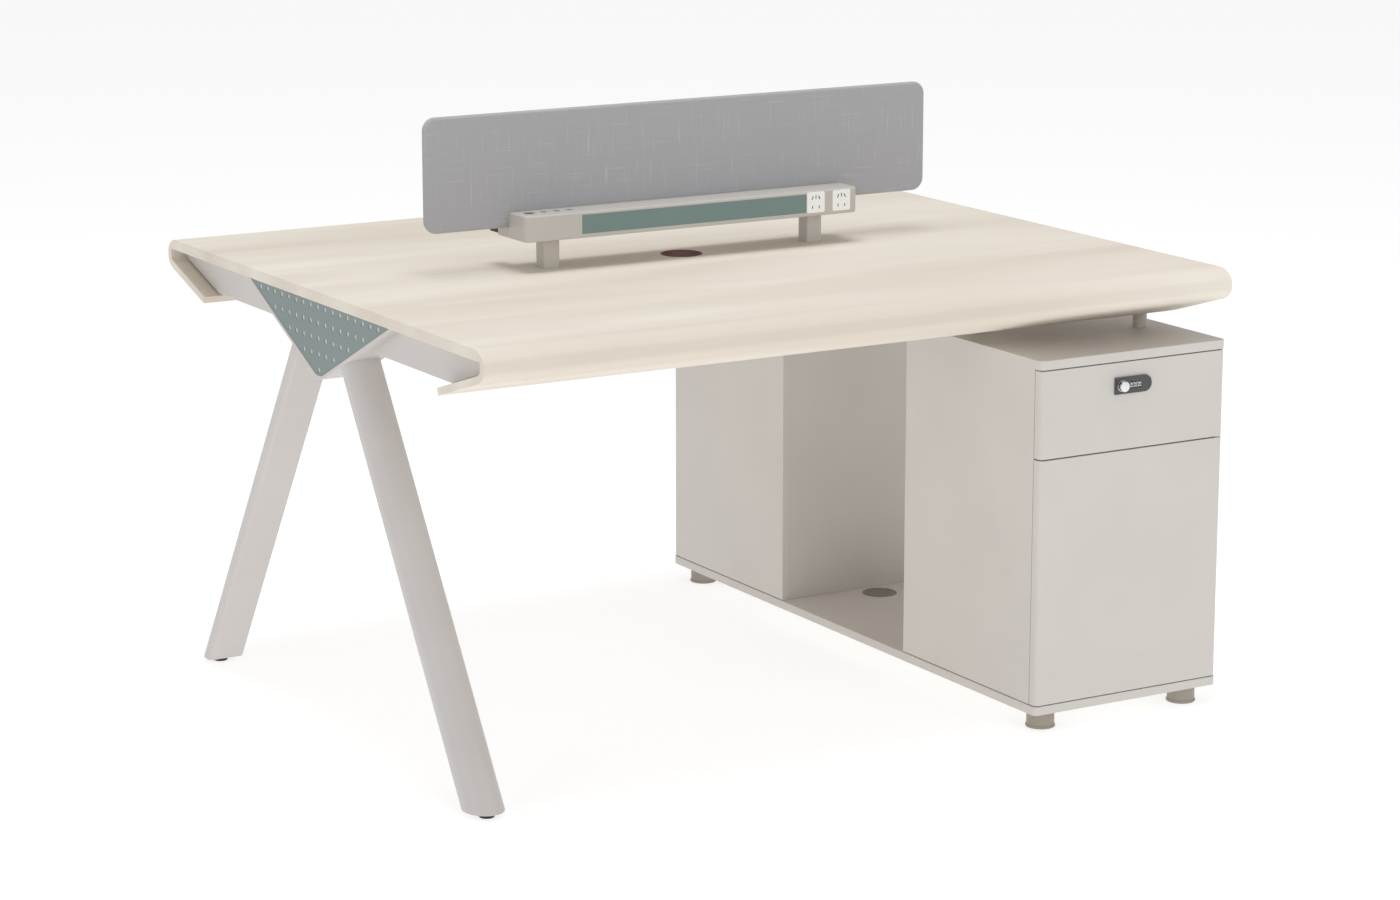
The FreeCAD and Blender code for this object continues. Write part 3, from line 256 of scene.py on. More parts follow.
def lathe(bm, profile, centre, axis=2, way=1, steps=48):
    """Spins a closed profile of (radius, height) points about an axis through a centre."""
    before = set(bm.verts)
    verts = [bm.verts.new((r, 0, h)) for r, h in profile]
    edges = [bm.edges.new(pair) for pair in zip(verts, verts[1:])]
    if profile[0][0] > 0 or profile[-1][0] > 0:
        edges.append(bm.edges.new((verts[-1], verts[0])))
    bmesh.ops.spin(bm, geom=verts + edges, cent=(0, 0, 0), axis=(0, 0, 1), dvec=(0, 0, 0), angle=FULL,
                   steps=steps, use_merge=True, use_duplicate=False)
    made = [v for v in bm.verts if v not in before]
    bmesh.ops.remove_doubles(bm, verts=made, dist=1e-4)
    made = [v for v in bm.verts if v not in before]
    turn = {0: Matrix.Rotation(QUARTER * way, 4, "Y"), 1: Matrix.Rotation(-QUARTER * way, 4, "X"),
            2: Matrix.Rotation(0 if way > 0 else math.pi, 4, "X")}[axis]
    bmesh.ops.transform(bm, matrix=Matrix.Translation(centre) @ turn, verts=made)


def rod(bm, radius, centre, length, axis=2, way=1, steps=40):
    lathe(bm, [(0, 0), (radius, 0), (radius, length), (0, length)], centre, axis, way, steps)


def outward(bm):
    """Turns a shape's faces outwards."""
    bmesh.ops.recalc_face_normals(bm, faces=bm.faces)
    return bm


def turned_at(place, angle, axis):
    """A turn about an axis and then a move to a place."""
    return Matrix.Translation(place) @ Matrix.Rotation(angle, 4, axis)


def mesh_of(name, bm):
    """The mesh of a shape, which is used up."""
    mesh = bpy.data.meshes.new(name)
    bm.to_mesh(mesh)
    bm.free()
    return mesh


def new_object(name, data):
    made = bpy.data.objects.new(name, data)
    bpy.context.scene.collection.objects.link(made)
    return made


def carved(bm, cutter):
    """Cuts one shape out of another with an exact Boolean and gives the result."""
    held = [new_object("Carving", mesh_of("Carving", outward(part))) for part in (bm, cutter)]
    cut = held[0].modifiers.new("Cut", "BOOLEAN")
    cut.operation = "DIFFERENCE"
    cut.solver = "EXACT"
    cut.object = held[1]
    graph = bpy.context.evaluated_depsgraph_get()
    result = bpy.data.meshes.new_from_object(held[0].evaluated_get(graph))
    out = bmesh.new()
    out.from_mesh(result)
    if not out.faces:
        raise RuntimeError("a cut left nothing of its shape")
    for made in held:
        mesh = made.data
        bpy.data.objects.remove(made)
        bpy.data.meshes.remove(mesh)
    bpy.data.meshes.remove(result)
    return out


def finish_piece(name, bm, *replaced, body="desk", smooth=38.0, recalc=True, more=()):
    """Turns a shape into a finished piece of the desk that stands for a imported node."""
    slot = SLOT_OF[replaced[0]]
    if recalc:
        outward(bm)
    bmesh.ops.scale(bm, vec=(MM, MM, MM), verts=bm.verts)
    mesh = mesh_of(name, bm)
    mesh.shade_smooth()
    mesh.set_sharp_from_angle(angle=math.radians(smooth))
    piece = new_object(name, mesh)
    for key in (slot, *more):
        mesh.materials.append(FINISHES[key])
    piece.modifiers.new("Weighted normals", "WEIGHTED_NORMAL").keep_sharp = True
    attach(piece, body)
    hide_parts(*replaced)
    return piece


def mirrored(bm, axis=1):
    """The same shape mirrored along an axis: over the desk's middle plane for the rear user."""
    vec = [1, 1, 1]
    vec[axis] = -1
    bmesh.ops.scale(bm, vec=vec, verts=bm.verts)
    bmesh.ops.reverse_faces(bm, faces=bm.faces)
    return bm


def rear_turned(bm):
    """The same shape for the rear user, turned half round about the cabinets' middle."""
    middle = Matrix.Translation((sum(CAB_X) / 2, 0, 0))
    turn = middle @ Matrix.Rotation(math.pi, 4, "Z") @ middle.inverted()
    bmesh.ops.transform(bm, matrix=turn, verts=bm.verts)
    return bm


def joined(bm, *others):
    """Adds other shapes to a shape."""
    for other in others:
        mesh = mesh_of("Joining", other)
        bm.from_mesh(mesh)
        bpy.data.meshes.remove(mesh)
    return bm


def also_rear(bm, change=mirrored):
    """Adds the rear user's copy of a shape to it."""
    return joined(bm, change(bm.copy()))


# Finishes
def add(tree, kind, inputs=None, **settings):
    """Adds a node: settings are its properties, and inputs are values or sockets to link."""
    made = tree.nodes.new(kind)
    for key, value in settings.items():
        setattr(made, key, value)
    for key, value in (inputs or {}).items():
        if isinstance(value, bpy.types.NodeSocket):
            tree.links.new(value, made.inputs[key])
        else:
            made.inputs[key].default_value = value
    return made


def new_finish(name):
    """A material with its Principled shader, and the piece's own coordinates in metres."""
    material = bpy.data.materials.new(name)
    material.use_nodes = True
    tree = material.node_tree
    shader = tree.nodes["Principled BSDF"]
    place = add(tree, "ShaderNodeTexCoord").outputs["Object"]
    return material, tree, shader, place


def give_relief(tree, shader, pattern, strength, depth_mm, gloss=None):
    """Lets a pattern raise the surface a little, and vary its gloss between two values."""
    if gloss:
        spread = add(tree, "ShaderNodeMapRange", {"Value": pattern, "To Min": gloss[0], "To Max": gloss[1]})
        tree.links.new(spread.outputs[0], shader.inputs["Roughness"])
    bump = add(tree, "ShaderNodeBump", {"Height": pattern, "Strength": strength, "Distance": depth_mm * MM})
    tree.links.new(bump.outputs[0], shader.inputs["Normal"])


def give_tones(tree, shader, pattern, low, high, dark, light):
    """Colours the surface from dark to light where a pattern runs from one value to another."""
    spread = add(tree, "ShaderNodeMapRange", {"Value": pattern, "From Min": low, "From Max": high})
    colour = add(tree, "ShaderNodeMix", {0: spread.outputs[0], 6: (*dark, 1), 7: (*light, 1)},
                 data_type="RGBA")
    tree.links.new(colour.outputs[2], shader.inputs["Base Color"])


def melamine_maple(light, dark):
    """Melamine-faced board with a pale maple print: broad soft bands, short pores, satin sheen."""
    material, tree, shader, place = new_finish("Melamine maple")
    # Bands about 150 mm wide that run along the desk and fade over some 1 m
    bands = add(tree, "ShaderNodeMapping", {"Vector": place, "Scale": (1.0, 6.5, 6.5)})
    broad = add(tree, "ShaderNodeTexNoise", {"Vector": bands.outputs[0], "Scale": 1.0, "Detail": 3.0,
                                             "Roughness": 0.5, "Distortion": 0.6})
    # Grain lines about 3 mm apart and 150 mm long
    lines = add(tree, "ShaderNodeMapping", {"Vector": place, "Scale": (6.0, 330.0, 330.0)})
    fine = add(tree, "ShaderNodeTexNoise", {"Vector": lines.outputs[0], "Scale": 1.0, "Detail": 3.0,
                                            "Roughness": 0.6})
    mixed = add(tree, "ShaderNodeMath", {0: fine.outputs["Fac"], 1: 0.12, 2: broad.outputs["Fac"]},
                operation="MULTIPLY_ADD")
    give_tones(tree, shader, mixed.outputs[0], 0.34, 0.82, dark, light)
    give_relief(tree, shader, fine.outputs["Fac"], 0.1, 0.2, (0.62, 0.72))
    shader.inputs["Specular IOR Level"].default_value = 0.3
    return material


def grained_finish(name, colour, roughness, grain_mm, relief_mm, mottle=0.03):
    """A painted, moulded or laminated surface: one colour with faint mottle and a fine relief."""
    material, tree, shader, place = new_finish(name)
    grain = add(tree, "ShaderNodeTexNoise", {"Vector": place, "Scale": 1.0 / (grain_mm * MM), "Detail": 3.0,
                                             "Roughness": 0.6})
    cloud = add(tree, "ShaderNodeTexNoise", {"Vector": place, "Scale": 6.0, "Detail": 2.0})
    shade = add(tree, "ShaderNodeMapRange", {"Value": cloud.outputs["Fac"], "From Min": 0.3, "From Max": 0.7,
                                             "To Min": 1.0 - mottle, "To Max": 1.0 + mottle * 0.5})
    tint = add(tree, "ShaderNodeVectorMath", {0: tuple(colour), "Scale": shade.outputs[0]}, operation="SCALE")
    tree.links.new(tint.outputs[0], shader.inputs["Base Color"])
    give_relief(tree, shader, grain.outputs["Fac"], 0.25, relief_mm, (roughness - 0.05, roughness + 0.05))
    return material


def brushed_metal(name, colour, roughness, line_mm, along):
    """A bare or plated metal with fine drawn lines along one axis."""
    material, tree, shader, place = new_finish(name)
    scale = [1.0 / (line_mm * MM)] * 3
    scale["XYZ".index(along)] = 3.0
    lines = add(tree, "ShaderNodeMapping", {"Vector": place, "Scale": tuple(scale)})
    drawn = add(tree, "ShaderNodeTexNoise", {"Vector": lines.outputs[0], "Scale": 1.0, "Detail": 2.0})
    give_relief(tree, shader, drawn.outputs["Fac"], 0.15, 0.05, (roughness - 0.06, roughness + 0.08))
    shader.inputs["Base Color"].default_value = (*colour, 1)
    shader.inputs["Metallic"].default_value = 1.0
    return material


def slub_linen(light, dark):
    """Woven polyester with a linen look: uneven threads that show as short slubs both ways."""
    material, tree, shader, place = new_finish("Slub woven polyester")
    # Slubs are about 2 mm thick and 70 mm long, and lie in only a few of the threads
    threads = []
    for scale in ((300.0, 300.0, 13.0), (13.0, 300.0, 300.0)):
        along = add(tree, "ShaderNodeMapping", {"Vector": place, "Scale": scale})
        slubs = add(tree, "ShaderNodeTexNoise", {"Vector": along.outputs[0], "Scale": 1.0, "Detail": 1.0})
        threads.append(slubs.outputs["Fac"])
    both = add(tree, "ShaderNodeMath", {0: threads[0], 1: threads[1]}, operation="MAXIMUM")
    give_tones(tree, shader, both.outputs[0], 0.62, 0.9, dark, light)
    give_relief(tree, shader, both.outputs[0], 0.4, 0.3)
    shader.inputs["Roughness"].default_value = 0.92
    shader.inputs["Sheen Weight"].default_value = 0.2
    shader.inputs["Sheen Roughness"].default_value = 0.5
    return material


# Grained finishes by slot: name, a colour of the panel or a hex value, roughness, the size of the
# grain and the depth of the relief in millimetres, and at times how much the colour varies
GRAINED = {
    # Baked powder flows to a fine even peel, and shines like satin
    "frame_paint": ("Powder coat white", "frame_white", 0.42, 0.7, 0.03),
    "green_paint": ("Powder coat sage", "sage", 0.5, 0.7, 0.03),
    "post_metal": ("Powder coat taupe", "post_taupe", 0.4, 0.7, 0.03),
    "anodised_rail": ("Powder coat warm grey", "rail_grey", 0.42, 0.7, 0.03),
    "drawer_paint": ("Powder coat light grey", "#C9C7C3", 0.45, 0.7, 0.03),
    # Plastic takes the fine etched grain of its mould, which dulls it
    # The liner's brown is darkened with the bore's painted shade
    "brown_plastic": ("Moulded ABS brown", "port_brown", 0.5, 0.6, 0.03),
    "black_plastic": ("Moulded nylon black", "#1E1E1F", 0.5, 0.5, 0.04),
    "dark_plastic": ("Moulded ABS graphite", "#3A3A3C", 0.5, 0.5, 0.04),
    "grey_plastic": ("Moulded ABS grey", "#85817D", 0.5, 0.6, 0.03),
    "foot_metal": ("Moulded nylon taupe", "#A1978C", 0.5, 0.6, 0.03),
    "green_inlay": ("Moulded silicone pine", "pine", 0.62, 0.8, 0.03),
    # A polished mould leaves this one smooth and glossy
    "white_plastic": ("Polycarbonate white", "#FAFAF8", 0.28, 2.5, 0.01, 0.01),
    # Pressed paper film has a fine matt grain, and raw fibres are rough and blotchy
    "cabinet_board": ("Melamine warm grey", "cabinet_grey", 0.5, 0.5, 0.03),
    "core_board": ("Fibreboard core", "#B99B72", 0.8, 0.9, 0.1, 0.12),
    # Cast zinc under dark lacquer is almost smooth
    "lock_metal": ("Zinc die-cast anthracite", "lock_grey", 0.4, 0.4, 0.02),
}


class BENCHDESK_OT_finishes(bpy.types.Operator):
    """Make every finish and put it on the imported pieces"""
    bl_idname = "bench_desk.finishes"
    bl_label = "Finishes"

    def execute(self, context):
        tone = colours()
        for slot, (name, colour, *rest) in GRAINED.items():
            linear = srgb(colour) if colour.startswith("#") else getattr(tone, colour)
            FINISHES[slot] = grained_finish(name, linear, *rest)
        FINISHES["desktop_laminate"] = melamine_maple(tone.maple_light, tone.maple_dark)
        FINISHES["screen_fabric"] = slub_linen(tone.fabric_light, tone.fabric_dark)
        FINISHES["zinc_steel"] = brushed_metal("Zinc-plated steel", srgb("#B9BBBD"), 0.32, 0.5, "Y")
        FINISHES["knob_metal"] = brushed_metal("Chromed zinc", srgb("#E3E2E6"), 0.2, 0.4, "Z")
        for node, slot in SLOT_OF.items():
            mesh = NODES[node].data
            mesh.materials.clear()
            mesh.materials.append(FINISHES[slot])
        return {"FINISHED"}


# Desktop, with the radii and turns of its folded edge
NOSE_THICK = 12.5
NOSE_STRAIGHT = 8.0
TOP_BEND, NOSE_BEND, ROOT_BEND = 38.0, 16.0, 45.0
RETURN_LENGTH = 137.0
RETURN_SLOPE = math.radians(17.3)
NOSE_TURNS = (0.0, math.radians(50), QUARTER, math.radians(140), math.pi - RETURN_SLOPE)
PORT_RADIUS = 35.0
PORT_BORE = 33.5


def run_line(bm, last, heading, length):
    """Carries an outline on in a straight line; headings turn downwards from +Y."""
    made = bmesh.ops.extrude_vert_indiv(bm, verts=[last])["verts"][0]
    made.co += Vector((0, math.cos(heading), -math.sin(heading))) * length
    return made


def run_arc(bm, last, heading, radius, end, steps):
    """Carries an outline on round an arc that turns downwards."""
    centre = last.co + Vector((0, -math.sin(heading), -math.cos(heading))) * radius
    made = bmesh.ops.spin(bm, geom=[last], cent=centre, axis=(1, 0, 0), dvec=(0, 0, 0), angle=heading - end,
                          steps=steps, use_merge=False, use_duplicate=False)
    return [item for item in made["geom_last"] if isinstance(item, bmesh.types.BMVert)][0]


def desktop_section():
    """The desktop's cross section at x = 0: flat top, rounded nose and sloping return, both sides."""
    flat, tilted, upright, tucked, returning = NOSE_TURNS
    reach = TOP_BEND * math.sin(tilted) + NOSE_BEND * (1 - math.sin(tilted))
    bm = bmesh.new()
    middle_top = bm.verts.new((0, 0, TOP))
    last = run_line(bm, middle_top, flat, HALF_Y - reach)
    last = run_arc(bm, last, flat, TOP_BEND, tilted, 10)
    last = run_arc(bm, last, tilted, NOSE_BEND, upright, 6)
    last = run_line(bm, last, upright, NOSE_STRAIGHT)
    wall = bm.verts.new((0, last.co.y - NOSE_THICK, last.co.z))
    last = run_arc(bm, last, upright, NOSE_BEND, tucked, 7)
    last = run_arc(bm, last, tucked, ROOT_BEND, returning, 6)
    lip = run_line(bm, last, returning, RETURN_LENGTH)
    last = run_arc(bm, wall, upright, NOSE_BEND - NOSE_THICK, tucked, 4)
    last = run_arc(bm, last, tucked, ROOT_BEND - NOSE_THICK, returning, 6)
    last = run_line(bm, last, returning, RETURN_LENGTH)
    bm.edges.new((last, lip))
    corner = bm.verts.new((0, wall.co.y, UNDER))
    middle_low = bm.verts.new((0, 0, UNDER))
    for pair in ((wall, corner), (corner, middle_low), (middle_low, middle_top)):
        bm.edges.new(pair)
    bmesh.ops.edgeloop_fill(bm, edges=bm.edges[:])
    bmesh.ops.mirror(bm, geom=bm.verts[:] + bm.edges[:] + bm.faces[:], matrix=Matrix.Identity(4),
                     merge_dist=0.001, axis="Y")
    bmesh.ops.dissolve_edges(bm, edges=[e for e in bm.edges if lies_at(e, 1, 0)], use_verts=True)
    return bm


class BENCHDESK_OT_worktop(bpy.types.Operator):
    """Make the desktop with its folded long edges"""
    bl_idname = "bench_desk.worktop"
    bl_label = "Desktop"

    def execute(self, context):
        bm = desktop_section()
        bmesh.ops.translate(bm, vec=(-HALF_X, 0, 0), verts=bm.verts)
        push(bm, bm.faces[:], (2 * HALF_X, 0, 0))
        ease(outward(bm), sizes().top_ease / MM, angle=60, clamp=False)
        port = shape(rod, PORT_RADIUS, (MID_X, 0, UNDER - OVERRUN), TOP_THICK + 2 * OVERRUN, steps=72)
        finish_piece("worktop_board", carved(bm, port), "desktop", recalc=False)
        # The liner takes the dark brown finish: the bore's brown with painted shade in it
        liner = shape(lathe, [(PORT_BORE, UNDER), (PORT_RADIUS, UNDER), (PORT_RADIUS, TOP), (36, TOP),
                              (35.9, TOP + 0.4), (35.4, TOP + 0.7), (34.1, TOP + 0.7), (PORT_BORE, TOP)],
                      (MID_X, 0, 0), steps=72)
        finish_piece("worktop_port_liner", liner, "cable_port_liner")
        return {"FINISHED"}


# End frame
RETURN_GAP = 4.0
# Radius, distance from the middle and depth of the holes in the beam's inner side
BEAM_HOLE = (15.0, 360.0, 8.0)
BRACKET_WALL = 6.0
BRACKET_BEND = 46.0
WEB_X = (BRACKET_X[0] + 2.0, BRACKET_X[0] + 4.0)
LEG_X = -660.0
FOOT_Y = 520.0
LEG_WIDTH = 65.0
LEG_DEPTH = 45.0
LEG_EDGE = 6.0
LEG_BLANK = 900.0
LEAN = math.atan(0.65)
LEG_AXIS = Vector((0, math.sin(LEAN), math.cos(LEAN)))
LEG_NORMAL = Vector((0, -math.cos(LEAN), math.sin(LEAN)))
RAIL_WALL = 2.0
RAIL_PLUG = 20.0
ACCESS_RADIUS = 6.0


def sliced(bm, point, normal):
    """Cuts off what lies beyond a plane and closes the cut."""
    bmesh.ops.bisect_plane(bm, geom=bm.verts[:] + bm.edges[:] + bm.faces[:], dist=1e-5, plane_co=point,
                           plane_no=normal, clear_outer=True)
    bmesh.ops.edgeloop_fill(bm, edges=[e for e in bm.edges if e.is_boundary])


def return_slope():
    """A point of the return's upper face and the way down from the desktop, front side."""
    bm = desktop_section()
    line = [e for e in bm.edges if abs(e.calc_length() - RETURN_LENGTH) < NEAR
            and max(v.co.y for v in e.verts) < 0]
    top = max(line, key=lambda e: e.verts[0].co.z + e.verts[1].co.z)
    point = Vector(top.verts[0].co)
    bm.free()
    return point, Vector((0, -math.sin(RETURN_SLOPE), -math.cos(RETURN_SLOPE)))


class BENCHDESK_OT_beam(bpy.types.Operator):
    """Make the box beam across the desk's left end"""
    bl_idname = "bench_desk.beam"
    bl_label = "End beam"

    def execute(self, context):
        bm = shape(slab, *corners("end_beam"))
        point, down = return_slope()
        end = point - down * RETURN_GAP
        for side in (1, -1):
            sliced(bm, Vector((0, side * end.y, end.z)), Vector((0, side * down.y, down.z)))
        rounded(bm, edges_along(bm, 0, lambda m: m.z > UNDER - 50), 4.0)
        ease(bm, 2.0, 4, 60)
        radius, away, depth = BEAM_HOLE
        holes = bmesh.new()
        for side in (-1, 1):
            rod(holes, radius, (BEAM_X[1] - depth, side * away, UNDER - BEAM_HEIGHT / 2), depth + OVERRUN,
                axis=0)
        finish_piece("end_frame_beam", carved(bm, holes), "end_beam", recalc=False)
        return {"FINISHED"}


def vee(bm, inset, wall, start, end):
    """The bracket's V between two places along X: a folded band, or a whole web without a wall."""
    slope = math.atan2(UNDER - APEX_Z, BRACKET_HALF)
    lines = []
    depths = (inset, inset + wall) if wall else (inset,)
    for depth in depths:
        lift = depth / math.cos(slope)
        half = (UNDER - APEX_Z - lift) / math.tan(slope)
        lines.append([(-half, UNDER), (0, APEX_Z + lift), (half, UNDER)])
    outline = lines[0] + (lines[1][::-1] if wall else [])
    verts = [bm.verts.new((start, y, z)) for y, z in outline]
    bm.faces.new(verts)
    for vert, depth in zip(verts[1::3], depths):
        rounded_points(bm, [vert], (BRACKET_BEND - depth) * math.tan(slope), 16)
    push(bm, [f for f in bm.faces if lies_at(f, 0, start)], (end - start, 0, 0))


class BENCHDESK_OT_bracket(bpy.types.Operator):
    """Make the folded bracket that joins the legs to the beam"""
    bl_idname = "bench_desk.bracket"
    bl_label = "Leg bracket"

    def execute(self, context):
        bm = shape(vee, 0.0, BRACKET_WALL, *BRACKET_X)
        ease(bm, 0.8, 3, 60)
        reach = BRACKET_HALF + OVERRUN
        bm = carved(bm, shape(slab, (BEAM_X[0], -reach, UNDER - BEAM_HEIGHT),
                              (BRACKET_X[1] + OVERRUN, reach, UNDER + OVERRUN)))
        web = outward(shape(vee, BRACKET_WALL, 0.0, *WEB_X))
        finish_piece("end_frame_bracket", joined(outward(bm), web), "gusset_bracket", recalc=False)
        return {"FINISHED"}


def leg_bar():
    """A D-shaped bar along the front leg: flat inner side, round outer side."""
    half, depth = LEG_WIDTH / 2, LEG_DEPTH / 2
    bm = bmesh.new()
    verts = [bm.verts.new(p) for p in ((-half, -depth, 0), (half, -depth, 0), (half, depth, 0),
                                       (-half, depth, 0))]
    bm.faces.new(verts)
    rounded_points(bm, verts[2:], half - NEAR, 18)
    rounded_points(bm, verts[:2], LEG_EDGE, 5)
    push(bm, bm.faces[:], (0, 0, LEG_BLANK))
    foot = Vector((LEG_X, -FOOT_Y, 0)) - LEG_AXIS * LEG_WIDTH
    turn = Matrix(((-1, 0, 0), LEG_NORMAL, LEG_AXIS)).transposed().to_4x4()
    bmesh.ops.transform(bm, matrix=Matrix.Translation(foot) @ turn, verts=bm.verts)
    return bm


class BENCHDESK_OT_legs(bpy.types.Operator):
    """Make the two splayed legs and their levelling glides"""
    bl_idname = "bench_desk.legs"
    bl_label = "Legs"

    def execute(self, context):
        for name, side in SIDES:
            bm = leg_bar()
            sliced(bm, (0, 0, GLIDE), (0, 0, -1))
            sliced(bm, (0, 0, APEX_Z), Vector((0, UNDER - APEX_Z, BRACKET_HALF)).normalized())
            outward(bm)
            rounded(bm, [e for e in bm.edges if lies_at(e, 2, GLIDE)], 0.8, 2)
            if side > 0:
                mirrored(bm)
            finish_piece(name + "_leg_tube", bm, name + "_leg")
        glides = shape(lathe, [(0, 0), (11.5, 0), (12.4, 1.2), (12.4, 5.6), (11.6, 6.6), (8.0, 7.4),
                               (8.0, GLIDE), (4, GLIDE), (4, 37), (0, 37)],
                       (LEG_X, math.tan(LEAN) * GLIDE - FOOT_Y, 0))
        finish_piece("leg_glides", also_rear(glides), "leg_levellers")
        return {"FINISHED"}


class BENCHDESK_OT_rails(bpy.types.Operator):
    """Make the two tubes that stiffen the desktop from below"""
    bl_idname = "bench_desk.rails"
    bl_label = "Under-desk rails"

    def execute(self, context):
        for name, side in SIDES:
            low, high = corners(name + "_rail")
            bm = shape(slab, low, high)
            rounded(bm, edges_along(bm, 0), sizes().tube_corner / MM)
            hollow = shape(slab, low + Vector((RAIL_PLUG, RAIL_WALL, RAIL_WALL)),
                           high + Vector((OVERRUN, -RAIL_WALL, -RAIL_WALL)))
            rounded(hollow, edges_along(hollow, 0), 1.0, 2)
            bm = carved(bm, hollow)
            access = bmesh.new()
            for x in RAIL_SCREW_XS:
                rod(access, ACCESS_RADIUS, (x, side * RAIL_Y, low.z - 3), 3 + 2 * RAIL_WALL)
            finish_piece(name + "_stiffening_rail", carved(bm, access), name + "_rail", recalc=False)
        return {"FINISHED"}


# Accessory rail: front, back of the box and back of the ledge, and its heights
TRAY_Y = (-50.0, 10.0, 50.0)
TRAY_Z = (802.0, 820.0, 846.0)
TRAY_WALL = 2.0
CAP_X = (312.0, 325.0)
STRIP_HALF = 219.5
STRIP_Z = (809.0, 841.0)
STRIP_DEPTH = 1.2
CUP_Y = -16.0
# Each cup's place along the rail and its radius, and each socket's place
CUPS = ((-312.0, 10.0), (-285.0, 6.0), (-261.0, 6.0), (-237.0, 6.0))
TRAY_POST_XS = (MID_X - 258.0, MID_X + 258.0)
TRAY_POST_HALF = 15.0
CLAMP_XS = (MID_X - 220.0, MID_X + 220.0)
SOCKETS = (("left", 227.0), ("right", 279.0))
SOCKET_Z = 826.0
SOCKET_HALF = 15.0
SOCKET_FACE = 18.0
# Each slot's place, length and lean in degrees
SLOTS = ((0, 9.2, 7.0, 0), (-6.8, 7.8, 7.0, 24), (6.8, 7.8, 7.0, -24), (-6.8, -8.4, 5.2, 0),
         (6.8, -8.4, 5.2, 0))
SCREEN_CORNER = 22.0


def tray_outline(inset):
    (front, back, ledge), (low, shelf, high) = TRAY_Y, TRAY_Z
    return [(front + inset, low + inset), (ledge - inset, low + inset), (ledge - inset, shelf - inset),
            (back - inset, shelf - inset), (back - inset, high - inset), (front + inset, high - inset)]


def cap_shape(inset, start, end, corner, edge):
    """The rail's section between two distances from its middle, rounded round its front corner."""
    bm = outward(shape(prism, tray_outline(inset), 0, start, end))
    rounded(bm, edges_along(bm, 2, lambda m: m.x > end - NEAR and m.y < TRAY_Y[0] + inset + NEAR), corner, 10)
    rim = []
    for e in bm.edges:
        level = abs(e.verts[0].co.z - e.verts[1].co.z) < NEAR
        inner = lies_at(e, 1, TRAY_Y[1] - inset) and lies_at(e, 2, TRAY_Z[1] - inset)
        if level and not inner and not lies_at(e, 0, start) and e.calc_face_angle() > 1.0:
            rim.append(e)
    rounded(bm, rim, edge)
    return bm


class BENCHDESK_OT_tray(bpy.types.Operator):
    """Make the raised rail with its end caps, strip, cups and posts"""
    bl_idname = "bench_desk.tray"
    bl_label = "Accessory rail"

    def execute(self, context):
        front, high = TRAY_Y[0], TRAY_Z[2]
        bm = shape(prism, tray_outline(0), 0, MID_X - CAP_X[0], MID_X + CAP_X[0], 3.0, keep=(3,))
        bm = carved(bm, shape(prism, tray_outline(TRAY_WALL), 0, MID_X - CAP_X[1], MID_X + CAP_X[1]))
        cuts = bmesh.new()
        for x, radius in CUPS:
            rod(cuts, radius, (x, CUP_Y, high - 6), 10)
        half = SOCKET_HALF + 0.05
        for _, x in SOCKETS:
            slab(cuts, (x - half, front - 3, SOCKET_Z - half), (x + half, front + 3, SOCKET_Z + half))
        bm = carved(bm, cuts)
        recess = shape(slab, (MID_X - STRIP_HALF, front - 1, STRIP_Z[0]),
                       (MID_X + STRIP_HALF, front + STRIP_DEPTH, STRIP_Z[1]))
        finish_piece("rail_body", carved(bm, recess), "tray_body", recalc=False)
        cap = carved(cap_shape(0.0, *CAP_X, 12.5, 3.0),
                     cap_shape(TRAY_WALL, CAP_X[0] - OVERRUN, CAP_X[1] - TRAY_WALL, 10.5, 1.0))
        caps = also_rear(cap, lambda other: mirrored(other, 0))
        bmesh.ops.translate(caps, vec=(MID_X, 0, 0), verts=caps.verts)
        finish_piece("rail_end_caps", caps, "tray_end_caps", recalc=False)
        strip = shape(slab, (MID_X - STRIP_HALF + 0.1, front - 0.4, STRIP_Z[0] + 0.1),
                      (MID_X + STRIP_HALF - 0.1, front + STRIP_DEPTH, STRIP_Z[1] - 0.1))
        ease(strip, 0.3)
        finish_piece("rail_strip", strip, "tray_inlay")
        cups = bmesh.new()
        for x, radius in CUPS:
            outer = radius + 1.5
            lathe(cups, [(0, 810), (outer - 1, 810), (outer, 811), (outer, 842.5), (outer + 2.5, 842.5),
                         (outer + 2.5, 844), (radius, 844), (radius, 814), (radius - 1, 813), (0, 813)],
                  (x, CUP_Y, 0), steps=32)
        finish_piece("rail_cups", cups, "holder_cups")
        posts = bmesh.new()
        half = TRAY_POST_HALF
        for x in TRAY_POST_XS:
            slab(posts, (x - half, -half, TOP), (x + half, half, TRAY_Z[0]))
        rounded(posts, edges_along(posts, 2), 3.0)
        ease(posts, 0.4)
        finish_piece("rail_posts", posts, "tray_posts")
        return {"FINISHED"}


